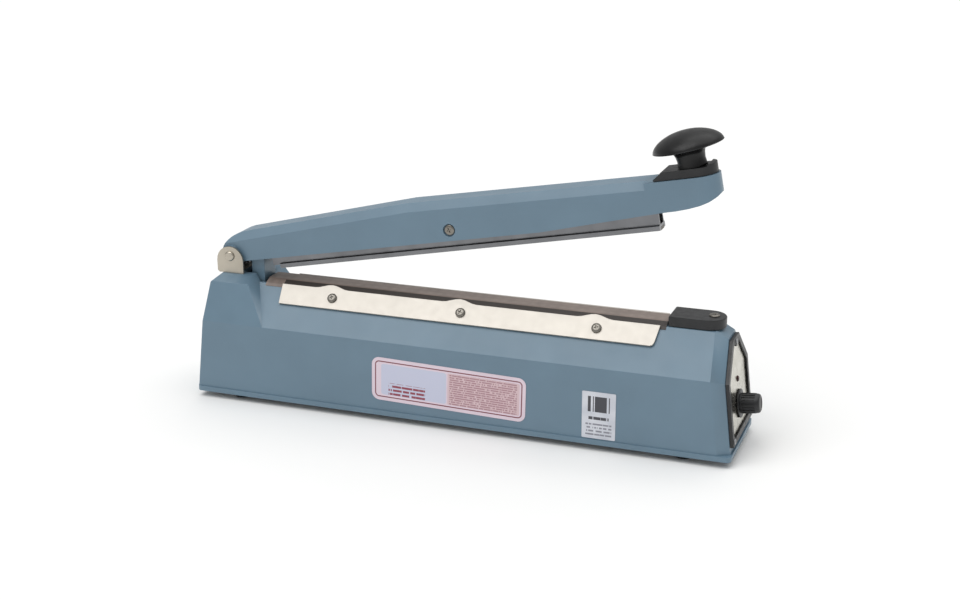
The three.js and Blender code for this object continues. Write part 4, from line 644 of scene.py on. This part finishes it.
class SEALER_OT_finishes(bpy.types.Operator):
    """Makes every finish, and gives each CAD node its own"""

    bl_idname = "sealer.finishes"
    bl_label = "Finishes"

    def execute(self, context):
        FINISHES.update(make_finishes())
        for name, node in frame["nodes"].items():
            node.data.materials.clear()
            node.data.materials.append(FINISHES[SLOT_OF[name]])
        return {"FINISHED"}


class SEALER_OT_base(bpy.types.Operator):
    """Dresses the base casting: rounded outer corners and a softened foot rim"""

    bl_idname = "sealer.base"
    bl_label = "Base casting"

    def execute(self, context):
        sizes = context.scene.sealer_sizes
        low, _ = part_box("base_casting")
        rim_top = low.z + 4.5 * MM
        piece = copy_of("base_casting", "base_body")

        tower_right = -0.16
        top_half = 11.6 * MM
        longest = 0.5

        def outer(edge):
            a, b = (v.co for v in edge.verts)
            middle = (a + b) / 2
            if min(a.z, b.z) < rim_top or not is_corner(edge, 14 * MM):
                return False
            under_bracket = abs(middle.y) < top_half and middle.x < tower_right
            return edge.calc_length() < longest and not under_bracket

        def rim(edge):
            return max(v.co.z for v in edge.verts) < rim_top and is_corner(edge, 0.5 * MM)

        round_corners(piece, sizes.casting_round, 3, outer)
        round_corners(piece, sizes.rim_round, 2, rim)
        settle(piece, "base_casting")
        return {"FINISHED"}


class SEALER_OT_arm(bpy.types.Operator):
    """Dresses the press arm: rounded creases, roof and lower edges"""

    bl_idname = "sealer.arm"
    bl_label = "Press arm"

    def execute(self, context):
        sizes = context.scene.sealer_sizes
        piece = copy_of("arm_casting", "arm_body")
        round_corners(piece, sizes.casting_round, 3, lambda edge: is_corner(edge, 18 * MM))
        settle(piece, "arm_casting")
        return {"FINISHED"}


class SEALER_OT_hinge(bpy.types.Operator):
    """Dresses the hinge bracket and its riveted pin"""

    bl_idname = "sealer.hinge"
    bl_label = "Hinge"

    def execute(self, context):
        sizes = context.scene.sealer_sizes
        bracket = copy_of("hinge_bracket", "hinge_ears")
        round_corners(bracket, sizes.sheet_round, 2, lambda edge: is_corner(edge, 1 * MM, 40))
        settle(bracket, "hinge_bracket")
        pin = copy_of("hinge_pin", "hinge_rivet")
        round_corners(pin, 0.3 * MM, 2, lambda edge: is_corner(edge, 0.2 * MM, 30))
        settle(pin, "hinge_pin", 40)
        return {"FINISHED"}


class SEALER_OT_clamp_plates(bpy.types.Operator):
    """Dresses the two clamp strips with tumbled edges"""

    bl_idname = "sealer.clamp_plates"
    bl_label = "Clamp strips"

    def execute(self, context):
        sizes = context.scene.sealer_sizes
        for side in ("front", "rear"):
            piece = copy_of(f"clamp_plate_{side}", f"clamp_strip_{side}")
            round_corners(piece, sizes.sheet_round, 2, lambda edge: is_corner(edge, 1.5 * MM, 40))
            settle(piece, f"clamp_plate_{side}")
        return {"FINISHED"}


class SEALER_OT_pressure_bar(bpy.types.Operator):
    """Dresses the pressure bar, an extrusion with slightly broken edges"""

    bl_idname = "sealer.pressure_bar"
    bl_label = "Pressure bar"

    def execute(self, context):
        piece = copy_of("pressure_bar", "press_bar")
        round_corners(piece, 0.2 * MM, 2, lambda edge: is_corner(edge, 1.2 * MM, 40))
        settle(piece, "pressure_bar")
        return {"FINISHED"}


class SEALER_OT_mouldings(bpy.types.Operator):
    """Dresses the black mouldings: terminal cover, end bezel and knob seat"""

    bl_idname = "sealer.mouldings"
    bl_label = "Black mouldings"

    def execute(self, context):
        sizes = context.scene.sealer_sizes
        for node, name, radius in (
            ("terminal_cover", "element_cover", sizes.moulding_round * 1.4),
            ("knob_seat", "knob_rest", sizes.moulding_round),
            ("end_bezel", "end_frame", sizes.moulding_round * 0.6),
        ):
            piece = copy_of(node, name)
            round_corners(piece, radius, 3, lambda edge: is_corner(edge, 1.4 * MM, 34))
            settle(piece, node)
        return {"FINISHED"}


class SEALER_OT_palm_knob(bpy.types.Operator):
    """Models the mushroom knob: a shallow dome on a flared stem, bored for its bolt"""

    bl_idname = "sealer.palm_knob"
    bl_label = "Mushroom knob"

    def execute(self, context):
        middle, foot, height = knob_frame("mushroom_knob")
        radius = 25.7 * MM
        stem = 10.4 * MM
        bore = 3.25 * MM
        rim = height * 0.56
        profile = [
            (bore, height * 0.62),
            (bore, 0),
            (stem, 0),
            (stem + 0.25 * MM, 0.4 * MM),
            (stem, height * 0.05),
            (stem - 0.3 * MM, height * 0.2),
            (stem + 0.2 * MM, height * 0.33),
            (stem + 1.0 * MM, height * 0.42),
            (stem + 4.5 * MM, height * 0.48),
            (radius - 4.5 * MM, height * 0.53),
            (radius - 1.2 * MM, rim - 0.6 * MM),
            (radius - 0.25 * MM, rim - 0.3 * MM),
            (radius, rim),
            (radius - 0.25 * MM, rim + 0.3 * MM),
        ]
        dome_foot = rim + 0.3 * MM
        steps = 12
        for step in range(1, steps):
            turn = step / steps * math.pi / 2
            dome = dome_foot + (height - dome_foot) * math.sin(turn) ** 1.2
            profile.append(((radius - 0.25 * MM) * math.cos(turn), dome))
        profile.append((0.4 * MM, height))
        piece = turned_piece("palm_knob", profile, 72)
        set_down(piece, Matrix.Translation(middle) @ foot)
        settle(piece, "mushroom_knob", 50)
        return {"FINISHED"}


def knob_frame(knob):
    """Where a knob on the arm stands: the place of its foot, its tilt, and its height."""
    tilt = Matrix.Rotation(-ARM_OPEN - KNOB_LEAN, 4, "Y")
    back = tilt.inverted()
    local = [back @ v.co for v in frame["nodes"][knob].data.vertices]
    lowest = min(p.z for p in local)
    highest = max(p.z for p in local)
    centre_x = (min(p.x for p in local) + max(p.x for p in local)) / 2
    return tilt @ Vector((centre_x, 0, lowest)), tilt, highest - lowest


class SEALER_OT_timer_knob(bpy.types.Operator):
    """Models the timer knob: a thin skirt, a ribbed grip and a bevelled tip on its shaft"""

    bl_idname = "sealer.timer_knob"
    bl_label = "Timer knob"

    def execute(self, context):
        sizes = context.scene.sealer_sizes
        joint = next(j for j in frame["joints"] if j["name"] == "timer_turn")
        axis = Vector(joint["axis"]).normalized()
        start = Vector(joint["pos_m"])
        along = [(v.co - start).dot(axis) for v in frame["nodes"]["timer_knob"].data.vertices]
        back, tip = min(along), max(along)
        skirt = tip - 15.4 * MM
        ribs = sizes.rib_count
        body = 7.6 * MM
        profile = [
            (3.0 * MM, back),
            (3.0 * MM, skirt),
            (10.3 * MM, skirt),
            (10.6 * MM, skirt + 0.3 * MM),
            (10.6 * MM, skirt + 1.0 * MM),
            (10.2 * MM, skirt + 1.3 * MM),
            (body, skirt + 1.5 * MM),
            (body, skirt + 2.6 * MM),
            (body - 0.2 * MM, tip - 3.4 * MM),
            (body - 0.5 * MM, tip - 2.4 * MM),
            (body - 0.6 * MM, tip - 1.4 * MM),
            (body - 1.1 * MM, tip - 0.5 * MM),
            (body - 2.0 * MM, tip),
            (body - 3.4 * MM, tip),
            (body - 3.8 * MM, tip - 0.3 * MM),
            (0.4 * MM, tip - 0.3 * MM),
        ]
        piece = turned_piece("timer_grip", profile, ribs * 4)
        wedge = 2 * math.pi / (ribs * 4)

        def groove(face):
            centre = face.calc_center_median()
            turn = int(math.atan2(centre.y, centre.x) // wedge) % 4
            middle = skirt + 2.6 * MM < centre.z < tip - 3.4 * MM
            return middle and turn < 2 and abs(face.normal.z) < 0.3

        if not pick(piece, "faces", groove):
            raise RuntimeError("the timer knob has no faces for its ribs")
        bpy.ops.mesh.inset(thickness=0.12 * MM, depth=0, use_individual=False)
        bpy.ops.transform.resize(
            value=(1 - sizes.rib_depth / body, 1 - sizes.rib_depth / body, 1),
            center_override=(0, 0, skirt + 7 * MM),
        )
        turn = axis.to_track_quat("Z", "Y").to_matrix().to_4x4()
        set_down(piece, Matrix.Translation(start) @ turn)
        settle(piece, "timer_knob", 38)
        return {"FINISHED"}


def cross_screw(name, head, head_height, shank, shank_length):
    """A pan head screw with a cross recess. Its head is up, and z = 0 is under the head."""
    profile = [
        (shank * 0.55, -shank_length),
        (shank, -shank_length + shank * 0.6),
        (shank, 0),
        (head * 0.985, 0),
        (head, head_height * 0.12),
        (head, head_height * 0.36),
        (head * 0.96, head_height * 0.6),
        (head * 0.84, head_height * 0.84),
        (head * 0.62, head_height * 0.96),
        (head * 0.5, head_height),
    ]
    piece = turned_piece(name, profile, SCREW_SIDES)
    bpy.ops.object.mode_set(mode="OBJECT")
    arms = []
    for turn in (0, math.pi / 2):
        bpy.ops.object.select_all(action="DESELECT")
        bpy.ops.mesh.primitive_cube_add(size=1, location=(0, 0, head_height), rotation=(0, 0, turn))
        arm = bpy.context.object
        arm.dimensions = (head * 1.15, head * 0.26, head_height * 1.1)
        bpy.ops.object.transform_apply()
        bpy.ops.object.mode_set(mode="EDIT")
        pick(arm, "faces", lambda face: face.normal.z < -0.9)
        bpy.ops.transform.resize(value=(0.55, 0.55, 1), center_override=(0, 0, head_height / 2))
        bpy.ops.object.mode_set(mode="OBJECT")
        arms.append(arm)
    take(piece)
    for arm in arms:
        cutter = piece.modifiers.new("recess", "BOOLEAN")
        cutter.object = arm
        cutter.operation = "DIFFERENCE"
        cutter.solver = "EXACT"
        bpy.ops.object.modifier_apply(modifier=cutter.name)
    for arm in arms:
        bpy.data.objects.remove(arm)
    return piece


class SEALER_OT_screws(bpy.types.Operator):
    """Models one cross-recess screw of each size and sets a copy at every fixing"""

    bl_idname = "sealer.screws"
    bl_label = "Screws"

    def execute(self, context):
        for kind, millimetres in SCREW_KINDS.items():
            head, head_height, shank, shank_length = (value * MM for value in millimetres)
            pattern = cross_screw(kind + "_pattern", head, head_height, shank, shank_length)
            fixings = sorted(n for n in frame["nodes"] if n.startswith(kind))
            for number, node in enumerate(fixings):
                middle, axis, top = screw_axis(node)
                piece = bpy.data.objects.new(node + "_finished", pattern.data.copy())
                context.scene.collection.objects.link(piece)
                turn = axis.to_track_quat("Z", "Y").to_matrix().to_4x4()
                roll = Matrix.Rotation(SCREW_FIRST_TURN + SCREW_TURN_STEP * number, 4, "Z")
                seat = Matrix.Translation(middle + axis * (top - head_height))
                set_down(piece, seat @ turn @ roll)
                settle(piece, node, 40)
            bpy.data.objects.remove(pattern)
        return {"FINISHED"}


class SEALER_OT_stage(bpy.types.Operator):
    """Sets the plain floor, the soft studio lights and the camera"""

    bl_idname = "sealer.stage"
    bl_label = "Stage"

    def execute(self, context):
        scene = context.scene
        sizes, tones = scene.sealer_sizes, scene.sealer_colours
        bpy.ops.object.select_all(action="DESELECT")
        bpy.ops.mesh.primitive_plane_add(size=sizes.floor_span, location=(0, 0, 0))
        floor = context.object
        floor.name = "floor"
        material, tree, shader, place = start_finish("matt_paper_floor", {"Roughness": 0.9})
        paper = patches(tree, place, 900, shade(tones.floor, 0.995), tones.floor)
        tree.links.new(paper, shader.inputs["Base Color"])
        floor.data.materials.append(material)

        world = bpy.data.worlds.new("studio")
        world.use_nodes = True
        sky = world.node_tree.nodes["Background"]
        sky.inputs["Color"].default_value = (1.0, 1.0, 1.0, 1.0)
        sky.inputs["Strength"].default_value = SKY_STRENGTH
        scene.world = world
        for name, place, spread, strength in SOFTBOXES:
            light = bpy.data.objects.new(name, bpy.data.lights.new(name, "SUN"))
            light.data.angle = math.radians(spread)
            light.data.energy = strength
            light.location = place
            light.rotation_euler = Vector(place).to_track_quat("Z", "Y").to_euler()
            scene.collection.objects.link(light)

        azimuth, elevation, roll = CAMERA_AZIMUTH, CAMERA_ELEVATION, CAMERA_ROLL
        back = Vector((
            math.sin(azimuth) * math.cos(elevation),
            -math.cos(azimuth) * math.cos(elevation),
            math.sin(elevation),
        ))
        right = Vector((math.cos(azimuth), math.sin(azimuth), 0))
        up = back.cross(right)
        right, up = (
            right * math.cos(roll) + up * math.sin(roll),
            up * math.cos(roll) - right * math.sin(roll),
        )
        camera = bpy.data.objects.new("camera", bpy.data.cameras.new("camera"))
        camera.data.lens = CAMERA_LENS
        camera.data.sensor_width = CAMERA_SENSOR
        camera.data.clip_end = 60
        scene.collection.objects.link(camera)
        turn = Matrix((right, up, back)).transposed().to_4x4()
        camera.matrix_world = Matrix.Translation(CAMERA_TARGET + back * CAMERA_DISTANCE) @ turn
        scene.camera = camera
        scene.view_settings.view_transform = "Standard"
        return {"FINISHED"}


class SEALER_PT_panel(bpy.types.Panel):
    """Lists the steps that dress the sealer, and the sizes and colours that they use"""

    bl_idname = "SEALER_PT_panel"
    bl_label = "Heat sealer"
    bl_space_type = "VIEW_3D"
    bl_region_type = "UI"
    bl_category = "Heat sealer"

    def draw(self, context):
        for group in (context.scene.sealer_sizes, context.scene.sealer_colours):
            for name in group.__annotations__:
                self.layout.prop(group, name)
        for step in STEPS:
            self.layout.operator(step.bl_idname)


FINISHES = {}
STEPS = (
    SEALER_OT_finishes,
    SEALER_OT_base,
    SEALER_OT_arm,
    SEALER_OT_hinge,
    SEALER_OT_clamp_plates,
    SEALER_OT_pressure_bar,
    SEALER_OT_mouldings,
    SEALER_OT_palm_knob,
    SEALER_OT_timer_knob,
    SEALER_OT_screws,
    SEALER_OT_stage,
)
CLASSES = (SealerSizes, SealerColours, *STEPS, SEALER_PT_panel)


def register():
    for cls in CLASSES:
        bpy.utils.register_class(cls)
    bpy.types.Scene.sealer_sizes = bpy.props.PointerProperty(type=SealerSizes)
    bpy.types.Scene.sealer_colours = bpy.props.PointerProperty(type=SealerColours)


def unregister():
    del bpy.types.Scene.sealer_colours
    del bpy.types.Scene.sealer_sizes
    for cls in reversed(CLASSES):
        bpy.utils.unregister_class(cls)


def main():
    register()
    for step in STEPS:
        group, name = step.bl_idname.split(".")
        getattr(getattr(bpy.ops, group), name)()


if __name__ == "__main__":
    main()
